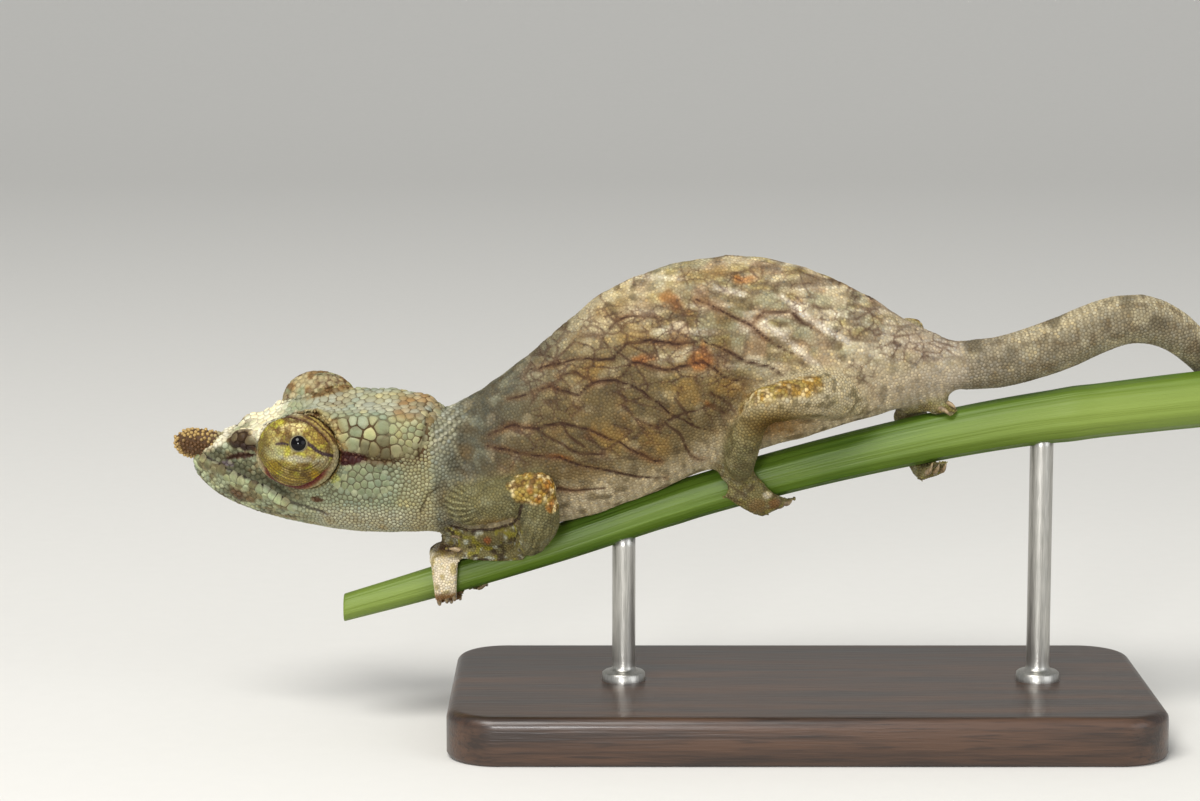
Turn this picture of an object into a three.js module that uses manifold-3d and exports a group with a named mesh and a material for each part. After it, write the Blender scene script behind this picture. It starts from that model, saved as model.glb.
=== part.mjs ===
// A nose-horned chameleon, life size, walking down a cut length of green flower stem that a small
// display stand holds up. Millimetres, +Z up. The animal faces -X and its left side faces -Y.
//
// The head, the trunk and the tail are lofts: closed rings of points set along a line, a few named
// sizes at a time, and sliced into nodes with a hair of space between the slices. Limbs are tapered
// tubes. Feet are a sole with two mitten-like bundles of fused toes that reach round the stem.

import * as THREE from "three";
import { mergeVertices } from "three/addons/utils/BufferGeometryUtils.js";
import Module from "manifold-3d";

const wasm = await Module();
wasm.setup();

// ---- Driving sizes ---------------------------------------------------------------------------

const GAP = 0.25; // space between neighbouring solids
const RING = 22; // points in a ring of the head, neck and trunk
const TAIL_SIDES = 10;
const LIMB_SIDES = 8;

// The flower stem, from its thin cut end in front of the hands to its thick one behind the tail.
const STEM_LINE = [[-17.2, -14.1], [-11.3, -12.4], [-2.7, -9.65], [6.7, -6.45], [17.3, -3.6],
  [26.7, -1.65], [37.3, -0.25], [53.0, 1.15]]; // [x, z of the middle]
const STEM_RADIUS = [[-17.2, 0.9], [-2.7, 1.3], [17.3, 1.58], [37.3, 1.85], [53.0, 1.95]];

// The trunk, in upright slices: [x, top of the back, bottom of the belly, half width].
const TRUNK_SLICES = [
  [-9.0, 0.25, -9.0, 3.1],
  [-6.7, 1.75, -9.1, 3.5],
  [-4.0, 3.95, -8.7, 3.75],
  [0.0, 7.3, -7.75, 4.05],
  [4.0, 9.1, -6.2, 4.25],
  [8.0, 9.8, -4.35, 4.25],
  [12.0, 9.55, -2.95, 3.9],
  [16.0, 8.1, -1.8, 3.15],
  [20.0, 5.85, -0.6, 2.35],
  [22.2, 4.6, 0.25, 1.9],
  [24.0, 4.0, 0.75, 1.6],
];
const WIDEST_AT = 0.42; // of a slice's height
const BACK_KEEL = 1.3; // above 1, the back narrows to a keel
const BELLY_FULL = 0.88; // below 1, the belly is full

// The tail: an arch behind the hips, then turns round the stem.
const TAIL_ARCH = [[24.0, 0, 2.37], [26.7, 0, 2.6], [30.7, 0, 3.85], [33.3, 0, 5.0], [35.4, 0.05, 5.5],
  [37.4, 0.2, 5.1], [39.1, 0.6, 4.0], [40.4, 1.4, 2.75]];
const TAIL_COIL = { from: 41.7, start: -68, turns: 1.45, pitch: 3.6, points: 15 };
const TAIL_RADIUS = [[0, 1.66], [0.06, 1.72], [0.16, 1.76], [0.27, 1.62], [0.36, 1.25], [0.5, 0.98],
  [0.75, 0.62], [1, 0.26]]; // by share of the tail's length
const TAIL_HEIGHT = 1.06; // the tail is a little deeper than wide
const TAIL_CUTS = [0, 0.13, 0.27, 0.4, 0.6, 0.8, 1];

// The head's own frame: forward of the casque's rear edge, out to the side, and up from the eyes.
const HEAD_AT = new THREE.Vector3(-10.87, -0.8, -2.2);
const HEAD_TURN = 10.5; // degrees, nose to the animal's right
const HEAD_ROLL = 17; // degrees, crown to the animal's left
const HEAD_LINES = { // [forward, out, up] along the lines that the skull's rings pass through
  crown: [[0, 0, 1.95], [2.5, 0, 2.35], [6, 0, 2.15], [9, 0, 1.75], [11.5, 0, 0.75], [13.5, 0, 0.05],
    [15.1, 0, -0.75], [16.3, 0, -1.3], [17, 0, -1.9]],
  crest: [[0, 1.75, 1.8], [2.5, 2.35, 2.3], [6, 2.4, 2.25], [9, 2.15, 2.2], [11.5, 1.85, 1.05],
    [13.5, 1.45, 0.1], [15.1, 1.0, -0.85], [16.3, 0.65, -1.45], [17, 0.3, -2.0]],
  temple: [[0, 2.75, -1.3], [3, 3.15, -1.0], [6, 3.0, -0.6], [9, 2.5, -0.5], [11.5, 2.3, -0.7],
    [13.5, 1.85, -0.95], [15.1, 1.4, -1.55], [16.3, 0.95, -2.0], [17, 0.42, -2.25]],
  lip: [[0, 3.1, -4.1], [3, 3.35, -4.35], [6, 3.4, -4.5], [7.7, 3.2, -4.45], [9.65, 2.9, -3.85],
    [11.8, 2.35, -3.15], [14.5, 1.55, -2.55], [16.2, 0.98, -2.5], [17, 0.45, -2.55]],
  jaw: [[0, 2.45, -5.9], [3, 2.6, -6.05], [6, 2.55, -6.05], [8.8, 2.2, -5.75], [11.5, 1.8, -5.3],
    [13.5, 1.45, -4.85], [15.1, 1.1, -4.25], [16.3, 0.75, -3.55], [17, 0.36, -3.0]],
  throat: [[0, 0, -6.85], [3, 0, -6.9], [6, 0, -6.95], [8.8, 0, -6.8], [11.5, 0, -6.35], [13.5, 0, -5.8],
    [15.1, 0, -5.1], [16.3, 0, -4.2], [17, 0, -3.3]],
};
const HEAD_STATIONS = [0, 1.4, 3.2, 5, 6.8, 8.4, 10, 11.5, 12.8, 14, 15, 15.9, 16.6, 17];
const NAPE_STEP = 0.55; // how far the casque stands above the neck
const MOUTH_CORNER = [7.3, -4.7]; // [forward, up]
const CASQUE_CUT = [[-1, -0.2], [6.2, 0.95]]; // the line under the casque, [forward, up]

const EYE = { forward: 8.75, out: 3.15, up: 0.12 }; // middle of a turret
const TURRET = [2.75, 1.98, 2.68]; // radii forward, out and up
const GAZE = [-0.62, 1.7, 1.14]; // from the turret's middle to its opening
const EYEBALL = 0.78;
const LID = 0.6; // radius of the opening in the lids
const HORN = { at: [16.7, 0, -1.1], size: [1.5, 0.64, 1.0] };

// Limbs: joints from inside the body to the sole, and radii there.
const LIMBS = {
  left_arm: { joints: [[-9.4, -1.4, -6.2], [-8.2, -3.3, -6.5], [-3.9, -5.3, -5.0], [-3.85, -4.5, -7.4],
    [-4.75, -2.6, -9.2]], radii: [1.7, 1.5, 1.32, 1.35, 1.1] },
  right_arm: { joints: [[-9.4, 1.4, -6.0], [-8.3, 3.5, -7.0], [-6.9, 6.2, -9.3], [-8.4, 4.3, -9.6],
    [-10.1, 2.0, -10.0]], radii: [1.7, 1.45, 1.15, 1.15, 0.92] },
  left_leg: { joints: [[16.6, -1.2, 0.6], [14.2, -3.4, 1.0], [10.35, -5.4, 0.35], [9.5, -4.4, -2.0],
    [9.2, -3.05, -4.1]], radii: [1.9, 1.75, 1.25, 1.2, 1.05] },
  right_leg: { joints: [[16.4, 1.2, 0.6], [18.2, 2.7, 2.5], [21.1, 3.75, 4.3], [21.3, 4.0, 1.6],
    [20.9, 3.2, -0.9]], radii: [1.9, 1.6, 1.1, 1.15, 1.0] },
};

// Feet: where the sole sits on the stem, the angle round the stem from its top towards the left
// side, and the two bundles of toes. A bundle starts and ends at angles round the stem, runs on by
// `drift` along it, and is `width` across.
const FEET = {
  left_hand: { at: -4.9, angle: 42, sole: [1.3, 0.9, 1.2],
    outer: { toes: 2, from: 62, to: 36, drift: -4.3, width: 1.9, lift: 1.15 },
    inner: { toes: 3, from: 0, to: -125, drift: -3.2, width: 2.0, lift: 0 } },
  right_hand: { at: -10.4, angle: -22, sole: [1.2, 0.85, 1.15],
    outer: { toes: 2, from: -40, to: -150, drift: 0.6, width: 1.7, lift: 0 },
    inner: { toes: 3, from: 8, to: 124, drift: 0.15, width: 2.15, lift: 0 } },
  left_foot: { at: 9.0, angle: 50, sole: [1.25, 0.9, 1.2],
    outer: { toes: 3, from: 72, to: 160, drift: 2.9, width: 2.2, lift: 0 },
    inner: { toes: 2, from: 5, to: -125, drift: 1.2, width: 1.8, lift: 0 } },
  right_foot: { at: 20.9, angle: -52, sole: [1.25, 0.9, 1.2],
    outer: { toes: 3, from: -72, to: -198, drift: 1.4, width: 2.1, lift: 0 },
    inner: { toes: 2, from: -25, to: 22, drift: 1.9, width: 1.8, lift: 0 } },
};
const TOE_DEEP = 0.95; // from a bundle's underside to the backs of its toes
const TOE_TAPER = 0.7;
const CLAW = { length: 0.95, radius: 0.16 };

// The stand.
const BASE = { middle: 13.5, length: 47, width: 23, height: 3.2, corner: 3.5, top: -19 };
const RODS = { stand_rod_front: 1.6, stand_rod_rear: 29.5 };
const ROD_RADIUS = 0.8;

const COLOURS = {
  skin: ["#a79a7d", 0.75], head: ["#a9b097", 0.7], horn: ["#6b4a20", 0.8], turret: ["#a8963c", 0.65],
  eye: ["#07070a", 0.12], limb: ["#9b9073", 0.75], tail: ["#9a9078", 0.75], stem: ["#5f9a1c", 0.5],
  base: ["#2b2019", 0.4], rod: ["#8f8c86", 0.3],
};

// ---- Shapes ----------------------------------------------------------------------------------

const radians = THREE.MathUtils.degToRad;

// A smooth line through rows of [place, value, ...], read at any place: the values there.
function along(rows) {
  return (place) => {
    let i = rows.findIndex((row) => row[0] >= place) - 1;
    if (i < -1) i = rows.length - 2;
    i = Math.max(0, i);
    const [a, b] = [rows[i], rows[i + 1]];
    const [before, after] = [rows[i - 1] ?? a, rows[i + 2] ?? b];
    const span = b[0] - a[0];
    const t = THREE.MathUtils.clamp((place - a[0]) / span, 0, 1);
    return a.slice(1).map((_, k) => {
      const j = k + 1;
      const slopeA = ((b[j] - before[j]) / (b[0] - before[0])) * span;
      const slopeB = ((after[j] - a[j]) / (after[0] - a[0])) * span;
      return a[j] * (2 * t ** 3 - 3 * t ** 2 + 1) + slopeA * (t ** 3 - 2 * t ** 2 + t) +
        b[j] * (3 * t ** 2 - 2 * t ** 3) + slopeB * (t ** 3 - t ** 2);
    });
  };
}

function solid(geometry) {
  const bare = geometry.index ? geometry.toNonIndexed() : geometry.clone();
  bare.deleteAttribute("normal");
  bare.deleteAttribute("uv");
  const merged = mergeVertices(bare, 1e-4);
  return new wasm.Manifold(new wasm.Mesh({
    numProp: 3,
    vertProperties: new Float32Array(merged.attributes.position.array),
    triVerts: new Uint32Array(merged.index.array),
  }));
}

function middleOf(ring) {
  return ring.reduce((sum, p) => sum.add(p), new THREE.Vector3()).divideScalar(ring.length);
}

// A closed solid through rings of equally many points, capped by a fan at each end.
function loft(rings) {
  const count = rings[0].length;
  const points = [...rings.flat(), middleOf(rings[0]), middleOf(rings.at(-1))];
  const faces = [];
  rings.slice(1).forEach((_, r) => {
    for (let i = 0; i < count; i++) {
      const [a, b] = [r * count + i, r * count + ((i + 1) % count)];
      faces.push(a, b, b + count, a, b + count, a + count);
    }
  });
  const last = (rings.length - 1) * count;
  for (let i = 0; i < count; i++) {
    faces.push(rings.length * count, (i + 1) % count, i);
    faces.push(rings.length * count + 1, last + i, last + ((i + 1) % count));
  }
  let volume = 0;
  for (let f = 0; f < faces.length; f += 3) {
    const [a, b, c] = faces.slice(f, f + 3).map((k) => points[k]);
    volume += a.dot(b.clone().cross(c));
  }
  if (volume < 0) faces.reverse();
  const geometry = new THREE.BufferGeometry().setFromPoints(points);
  return solid(geometry.setIndex(faces));
}

// Some of a row of rings, with its two end rings drawn in by half a gap.
function slice(rings, first, last) {
  const part = rings.slice(first, last + 1).map((ring) => ring.map((p) => p.clone()));
  const draw = (end, next) => {
    const step = middleOf(next).sub(middleOf(end)).setLength(GAP / 2);
    end.forEach((p) => p.add(step));
  };
  if (first > 0) draw(part[0], part[1]);
  if (last < rings.length - 1) draw(part.at(-1), part.at(-2));
  return part;
}

// Rings of a tapered tube. radius(t) is [across, up]; `rounded` says which ends close to a dome.
function tubeRings(curve, radius, sides, steps, rounded = [true, true]) {
  const DOME = [1, 0.4]; // how far on the last ring lies, and how wide it is, in radii
  const places = Array.from({ length: steps + 1 }, (_, i) => [i / steps, 1, 0]);
  if (rounded[0]) places.unshift([0, DOME[1], -DOME[0]]);
  if (rounded[1]) places.push([1, DOME[1], DOME[0]]);
  let up = null;
  return places.map(([t, shrink, beyond]) => {
    const tangent = curve.getTangentAt(t).normalize();
    up ??= Math.abs(tangent.z) > 0.9 ? new THREE.Vector3(1, 0, 0) : new THREE.Vector3(0, 0, 1);
    up = up.clone().addScaledVector(tangent, -up.dot(tangent)).normalize();
    const across = tangent.clone().cross(up);
    const [w, h] = radius(t);
    const centre = curve.getPointAt(t).addScaledVector(tangent, beyond * w * 0.75);
    return Array.from({ length: sides }, (_, i) => {
      const angle = (2 * Math.PI * i) / sides;
      return centre.clone().addScaledVector(across, w * shrink * Math.sin(angle))
        .addScaledVector(up, h * shrink * Math.cos(angle));
    });
  });
}

// A ring made wider all round.
function grow(ring, amount) {
  const centre = middleOf(ring);
  return ring.map((p) => p.clone().add(p.clone().sub(centre).setLength(amount)));
}

// A ball squashed along three directions and carried to its place by a matrix.
function ellipsoid(size, matrix, across = 12, down = 8) {
  const ball = new THREE.SphereGeometry(1, across, down);
  return solid(ball.scale(...size).applyMatrix4(matrix));
}

function placed(x, y, z) {
  return new THREE.Matrix4().makeTranslation(x, y, z);
}

// ---- Stem ------------------------------------------------------------------------------------

const stemHeight = along(STEM_LINE);
const stemRadius = along(STEM_RADIUS);
const STEM_ENDS = [STEM_LINE[0][0], STEM_LINE.at(-1)[0]];

function stemSolid(extra = 0, steps = 11, sides = 12) {
  const rings = Array.from({ length: steps + 1 }, (_, i) => {
    const x = THREE.MathUtils.lerp(STEM_ENDS[0] - extra, STEM_ENDS[1] + extra, i / steps);
    const inside = THREE.MathUtils.clamp(x, ...STEM_ENDS);
    const radius = stemRadius(inside)[0] + extra;
    const middle = new THREE.Vector3(x, 0, stemHeight(inside)[0]);
    return Array.from({ length: sides }, (_, k) => {
      const angle = (2 * Math.PI * k) / sides;
      return middle.clone().add(new THREE.Vector3(0, radius * Math.sin(angle), radius * Math.cos(angle)));
    });
  });
  return loft(rings);
}

// A point beside the stem: at x, `angle` degrees round it from the top to the left, `clear` off it.
function besideStem(x, angle, clear) {
  const out = stemRadius(x)[0] + clear;
  const turn = radians(angle);
  return new THREE.Vector3(x, -out * Math.sin(turn), stemHeight(x)[0] + out * Math.cos(turn));
}

const stem = stemSolid();
const stemGrown = stemSolid(GAP);

// ---- Head ------------------------------------------------------------------------------------

const headMatrix = (() => {
  const turn = radians(HEAD_TURN);
  const roll = radians(HEAD_ROLL);
  const forward = new THREE.Vector3(-Math.cos(turn), Math.sin(turn), 0);
  const level = new THREE.Vector3(-Math.sin(turn), -Math.cos(turn), 0);
  const up = new THREE.Vector3(0, 0, Math.cos(roll)).addScaledVector(level, Math.sin(roll));
  const out = level.multiplyScalar(Math.cos(roll)).add(new THREE.Vector3(0, 0, -Math.sin(roll)));
  return new THREE.Matrix4().makeBasis(forward, out, up).setPosition(HEAD_AT);
})();
const onHead = (forward, out, up) => new THREE.Vector3(forward, out, up).applyMatrix4(headMatrix);
const headPlace = (forward, out, up) => headMatrix.clone().multiply(placed(forward, out, up));

const headLine = Object.fromEntries(Object.entries(HEAD_LINES).map(([name, rows]) => [name, along(rows)]));

// One ring of the skull; `drop` lowers its crown, for the neck behind the casque.
function headRing(forward, drop = 0) {
  const at = (name, side) => {
    const [out, up] = headLine[name](forward);
    const lowered = { crown: drop, crest: drop * 0.8 }[name] ?? 0;
    return new THREE.Vector3(0, side * out, up - lowered);
  };
  const round = new THREE.CatmullRomCurve3([
    at("crown", 1), at("crest", 1), at("temple", 1), at("lip", 1), at("jaw", 1), at("throat", 1),
    at("jaw", -1), at("lip", -1), at("temple", -1), at("crest", -1),
  ], true, "centripetal");
  return Array.from({ length: RING }, (_, i) => {
    const p = round.getPoint(i / RING);
    return onHead(forward, p.y, p.z);
  });
}

// A slab across the head, from its outline in side view, [forward, up].
function headSlab(outline) {
  const WIDE = 20;
  const shape = new THREE.Shape(outline.map(([forward, up]) => new THREE.Vector2(forward, up)));
  const slab = new THREE.ExtrudeGeometry(shape, { depth: WIDE, bevelEnabled: false });
  slab.applyMatrix4(new THREE.Matrix4().makeRotationX(Math.PI / 2)).translate(0, WIDE / 2, 0);
  return solid(slab.applyMatrix4(headMatrix));
}

function mouthOutline(shift) {
  const line = [16.6, 15.8, 14.5, 13, 11.8, 10.6, 9.65, 8.6].map((forward) =>
    [forward, headLine.lip(Math.min(forward, 16.3))[1] - shift]);
  const [corner, drop] = MOUTH_CORNER;
  return [[20, line[0][1]], ...line, [corner + shift, drop - shift], [corner + shift - 0.6, -9], [20, -9]];
}

function casqueOutline(shift) {
  const [[rear, low], [front, high]] = CASQUE_CUT;
  return [[rear, low + shift], [front - shift, high + shift], [front - shift, 6], [rear, 6]];
}

function turret(side, grown = 0) {
  const size = TURRET.map((r) => r + grown);
  return ellipsoid(size, headPlace(EYE.forward, side * EYE.out, EYE.up));
}

function eyeParts(side) {
  const direction = new THREE.Vector3(GAZE[0], side * GAZE[1], GAZE[2]);
  const middle = new THREE.Vector3(EYE.forward, side * EYE.out, EYE.up).add(direction);
  const look = direction.clone().divide(new THREE.Vector3(...TURRET.map((r) => r * r))).normalize();
  const centre = middle.clone().addScaledVector(look, -EYEBALL * 0.82);
  const ball = (grown) => ellipsoid([1, 1, 1].map(() => EYEBALL + grown), headPlace(...centre), 9, 6);
  const opening = new THREE.CylinderGeometry(LID, LID * 0.9, 2, 12)
    .applyMatrix4(new THREE.Matrix4().makeRotationFromQuaternion(
      new THREE.Quaternion().setFromUnitVectors(new THREE.Vector3(0, 1, 0), look)))
    .translate(...middle.clone().addScaledVector(look, 0.75));
  return {
    eye: ball(0),
    turret: turret(side).subtract(ball(GAP * 0.5)).subtract(solid(opening.applyMatrix4(headMatrix))),
  };
}

// ---- Trunk, neck and tail --------------------------------------------------------------------

const trunkLine = along(TRUNK_SLICES);

function trunkRing(x, grown = 0) {
  const [top, bottom, half] = trunkLine(x);
  const middle = bottom + WIDEST_AT * (top - bottom);
  return Array.from({ length: RING }, (_, i) => {
    const angle = (2 * Math.PI * i) / RING;
    const [up, side] = [Math.cos(angle), Math.sin(angle)];
    const narrow = up > 0 ? BACK_KEEL : BELLY_FULL;
    const reach = (up > 0 ? top - middle : middle - bottom) + grown;
    const out = (half + grown) * Math.sign(side) * Math.abs(side) ** narrow;
    return new THREE.Vector3(x, -out, middle + reach * up);
  });
}

// Rings from the back of the head to the front of the trunk, leaving each along its own axis.
function neckRings(steps) {
  const from = headRing(-GAP, NAPE_STEP);
  const to = trunkRing(TRUNK_SLICES[0][0]);
  const back = onHead(-1, 0, 0).sub(onHead(0, 0, 0));
  const reach = 1.6;
  return Array.from({ length: steps + 1 }, (_, k) => {
    const t = k / steps;
    return from.map((p, i) => p.clone().multiplyScalar(2 * t ** 3 - 3 * t ** 2 + 1)
      .addScaledVector(back, reach * (t ** 3 - 2 * t ** 2 + t))
      .addScaledVector(to[i], 3 * t ** 2 - 2 * t ** 3)
      .addScaledVector(new THREE.Vector3(1, 0, 0), reach * (t ** 3 - t ** 2)));
  });
}

const TRUNK_STEPS = 15;
const trunkPlaces = Array.from({ length: TRUNK_STEPS + 1 }, (_, i) =>
  THREE.MathUtils.lerp(TRUNK_SLICES[0][0], TRUNK_SLICES.at(-1)[0], i / TRUNK_STEPS));
const trunkRings = trunkPlaces.map((x) => trunkRing(x));
const nape = neckRings(4);
const bodyGrown = loft([...[4.5, 3, 1.5, 0].map((forward) => headRing(forward)), ...nape, ...trunkRings.slice(1)]
  .map((ring) => grow(ring, GAP)));

function tailCurve() {
  const points = TAIL_ARCH.map((p) => new THREE.Vector3(...p));
  const { from, start, turns, pitch, points: count } = TAIL_COIL;
  for (let i = 0; i < count; i++) {
    const t = i / (count - 1);
    const share = THREE.MathUtils.lerp(0.42, 1, t);
    const clear = along(TAIL_RADIUS)(share)[0] * TAIL_HEIGHT + GAP;
    points.push(besideStem(from + pitch * turns * t, start - 360 * turns * t, clear));
  }
  return new THREE.CatmullRomCurve3(points, false, "centripetal");
}

// ---- Limbs and feet --------------------------------------------------------------------------

// Half a limb, from one joint to another, with a domed end at each.
function limbSolid({ joints, radii }, from, to, grown = 0) {
  const STEPS = 4;
  const points = joints.slice(from, to + 1).map((p) => new THREE.Vector3(...p));
  const tuck = from > 0 ? 0.8 : 1; // a lower half starts inside the upper half's end
  const thickness = along(radii.slice(from, to + 1).map((r, i) =>
    [i / (to - from), r * (i === 0 ? tuck : 1) + grown]));
  const curve = new THREE.CatmullRomCurve3(points, false, "centripetal");
  return loft(tubeRings(curve, (t) => [thickness(t)[0], thickness(t)[0]], LIMB_SIDES, STEPS));
}

// Places on a bundle of toes: t along it, s across it, and `clear` off the stem.
function onBundle(foot, bundle) {
  const radius = stemRadius(foot.at)[0] + TOE_DEEP / 2;
  const sweep = radians(bundle.to - bundle.from);
  const length = Math.hypot(bundle.drift, radius * sweep);
  const [alongStem, roundStem] = [(-radius * sweep) / length, bundle.drift / length];
  const place = (t, s, clear) => besideStem(foot.at + bundle.drift * t + s * alongStem,
    bundle.from + (bundle.to - bundle.from) * t + THREE.MathUtils.radToDeg((s * roundStem) / radius), clear);
  return { place, length };
}

// One ring of a bundle: a ridge for each toe, and a flat underside.
function bundleRing(place, bundle, t) {
  const { toes } = bundle;
  const width = bundle.width * THREE.MathUtils.lerp(1, TOE_TAPER, t);
  const end = t > 0.97 ? 0.68 : 1;
  const edge = TOE_DEEP * 0.5 * end;
  const valley = TOE_DEEP * (0.85 - 0.3 * t) * end;
  const back = TOE_DEEP * end;
  const outline = [];
  for (let i = 0; i < toes; i++) {
    const middle = (i + 0.5) / toes - 0.5;
    outline.push([middle - 0.5 / toes, i === 0 ? edge : valley], [middle - 0.2 / toes, back],
      [middle + 0.2 / toes, back]);
  }
  outline.push([0.5, edge]);
  outline.push([0.4, 0], [0, 0], [-0.4, 0]);
  return outline.map(([s, up]) => place(t, s * width, GAP + up + bundle.lift * t * t));
}

function clawSolid(place, bundle, length, s) {
  const STEPS = 2;
  const reach = CLAW.length / length;
  const path = [[0.84, 0.33], [1 + reach * 0.45, 0.44], [1 + reach, 0.14]].map(([t, up]) =>
    place(t, s, GAP + up * TOE_DEEP + bundle.lift * t * t));
  const radius = (t) => [CLAW.radius * (1.1 - 0.9 * t), CLAW.radius * (1.1 - 0.9 * t)];
  return loft(tubeRings(new THREE.QuadraticBezierCurve3(...path), radius, 4, STEPS, [false, false]));
}

function bundleSolid(foot, bundle) {
  const STEPS = 5;
  const { place, length } = onBundle(foot, bundle);
  const rings = Array.from({ length: STEPS + 1 }, (_, i) => bundleRing(place, bundle, i / STEPS));
  const claws = Array.from({ length: bundle.toes }, (_, i) =>
    clawSolid(place, bundle, length, ((i + 0.5) / bundle.toes - 0.5) * bundle.width * TOE_TAPER));
  return claws.reduce((joined, claw) => joined.add(claw), loft(rings));
}

function soleMatrix(foot) {
  const middle = besideStem(foot.at, foot.angle, foot.sole[1] * 0.8);
  const out = middle.clone().sub(besideStem(foot.at, 0, -stemRadius(foot.at)[0])).normalize();
  const lengthwise = new THREE.Vector3(1, 0, 0);
  const across = out.clone().cross(lengthwise).normalize();
  return new THREE.Matrix4().makeBasis(out.clone().cross(across), out, across).setPosition(middle);
}

function footParts(foot) {
  const sole = (grown) => ellipsoid(foot.sole.map((r) => r + grown), soleMatrix(foot), 10, 6);
  return {
    sole: sole(0).subtract(stemGrown).subtract(bodyGrown),
    soleGrown: sole(GAP),
    outer: bundleSolid(foot, foot.outer).subtract(sole(GAP)),
    inner: bundleSolid(foot, foot.inner).subtract(sole(GAP)),
  };
}

// ---- Assembly --------------------------------------------------------------------------------

const group = new THREE.Group();
const materials = Object.fromEntries(Object.entries(COLOURS).map(([name, [color, roughness]]) =>
  [name, new THREE.MeshStandardMaterial({ color, roughness, metalness: name === "rod" ? 1 : 0, flatShading: true })]));

function add(name, manifold, material) {
  const made = manifold.getMesh();
  const geometry = new THREE.BufferGeometry();
  geometry.setAttribute("position", new THREE.BufferAttribute(new Float32Array(made.vertProperties), 3));
  geometry.setIndex(new THREE.BufferAttribute(new Uint32Array(made.triVerts), 1));
  geometry.computeVertexNormals();
  const mesh = new THREE.Mesh(geometry, materials[material]);
  mesh.name = name;
  group.add(mesh);
}

// The head is parted into skull, casque and lower jaw, with a socket for each turret.
const skull = loft(HEAD_STATIONS.map((forward) => headRing(forward)));
const sockets = turret(1, GAP).add(turret(-1, GAP));
const horn = ellipsoid(HORN.size, headPlace(...HORN.at), 10, 7);
const jawShape = headSlab(mouthOutline(GAP / 2));
const jawRoom = headSlab(mouthOutline(-GAP / 2));
const casqueShape = headSlab(casqueOutline(GAP / 2));
const casqueRoom = headSlab(casqueOutline(-GAP / 2));
add("head", skull.subtract(sockets).subtract(jawRoom).subtract(casqueRoom), "head");
add("lower_jaw", skull.intersect(jawShape).subtract(sockets), "head");
add("casque", skull.intersect(casqueShape).subtract(sockets), "head");
add("nose_horn", horn.subtract(loft(HEAD_STATIONS.map((forward) => grow(headRing(forward), GAP)))), "horn");
for (const [side, name] of [[1, "left"], [-1, "right"]]) {
  const parts = eyeParts(side);
  add(`${name}_eye_turret`, parts.turret, "turret");
  add(`${name}_eye`, parts.eye, "eye");
}

const body = [...nape, ...trunkRings.slice(1)];
const BODY_CUTS = { neck: [0, 4], chest: [4, 9], belly: [9, 14], hips: [14, body.length - 1] };
for (const [name, [first, last]] of Object.entries(BODY_CUTS)) {
  add(name, loft(slice(body, first, last)).subtract(stemGrown), "skin");
}

const TAIL_STEPS = 38;
const tail = tailCurve();
const tailRings = tubeRings(tail, (t) => {
  const r = along(TAIL_RADIUS)(t)[0];
  return [r, r * TAIL_HEIGHT];
}, TAIL_SIDES, TAIL_STEPS, [false, true]);
TAIL_CUTS.slice(1).forEach((to, i) => {
  const first = Math.round(TAIL_CUTS[i] * TAIL_STEPS);
  const last = i === TAIL_CUTS.length - 2 ? tailRings.length - 1 : Math.round(to * TAIL_STEPS);
  const part = slice(tailRings, first, last);
  if (i === 0) part[0].forEach((p) => p.add(new THREE.Vector3(GAP, 0, 0)));
  add(`tail_${i + 1}`, loft(part), "tail");
});

const LIMB_NAMES = { arm: ["upper_arm", "forearm", "hand"], leg: ["thigh", "shank", "foot"] };
for (const [limb, sizes] of Object.entries(LIMBS)) {
  const [side, kind] = limb.split("_");
  const [upper, lower, end] = LIMB_NAMES[kind];
  const foot = footParts(FEET[`${side}_${end}`]);
  const upperSolid = limbSolid(sizes, 0, 2).subtract(bodyGrown);
  const lowerRoom = [limbSolid(sizes, 0, 2, GAP), foot.soleGrown, stemGrown, bodyGrown];
  const lowerSolid = lowerRoom.reduce((left, cut) => left.subtract(cut), limbSolid(sizes, 2, 4));
  const lowerGrown = limbSolid(sizes, 2, 4, GAP);
  add(`${side}_${upper}`, upperSolid, "limb");
  add(`${side}_${lower}`, lowerSolid, "limb");
  add(`${side}_${end}`, foot.sole, "limb");
  add(`${side}_${end}_outer_toes`, foot.outer.subtract(lowerGrown).subtract(bodyGrown), "limb");
  add(`${side}_${end}_inner_toes`, foot.inner.subtract(lowerGrown).subtract(bodyGrown), "limb");
}

add("perch_stem", stem, "stem");

function basePlate() {
  const { length, width, corner, height, middle, top } = BASE;
  const plate = new THREE.Shape();
  const [x, y] = [length / 2 - corner, width / 2 - corner];
  plate.absarc(x, y, corner, 0, Math.PI / 2);
  plate.absarc(-x, y, corner, Math.PI / 2, Math.PI);
  plate.absarc(-x, -y, corner, Math.PI, 1.5 * Math.PI);
  plate.absarc(x, -y, corner, 1.5 * Math.PI, 2 * Math.PI);
  const body = new THREE.ExtrudeGeometry(plate, { depth: height, bevelEnabled: false, curveSegments: 5 });
  return solid(body.translate(middle, 0, top - height));
}

add("stand_base", basePlate(), "base");
for (const [name, x] of Object.entries(RODS)) {
  const [bottom, top] = [BASE.top + GAP, stemHeight(x)[0]];
  const rod = new THREE.CylinderGeometry(ROD_RADIUS, ROD_RADIUS, top - bottom, 14)
    .rotateX(Math.PI / 2).translate(x, 0, (top + bottom) / 2);
  add(name, solid(rod).subtract(stemGrown), "rod");
}

// The frame's origin: the middle of the whole model, at the underside of the base.
const box = new THREE.Box3().setFromObject(group);
group.position.set(-(box.min.x + box.max.x) / 2, -(box.min.y + box.max.y) / 2, -box.min.z);

export default group;
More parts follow.
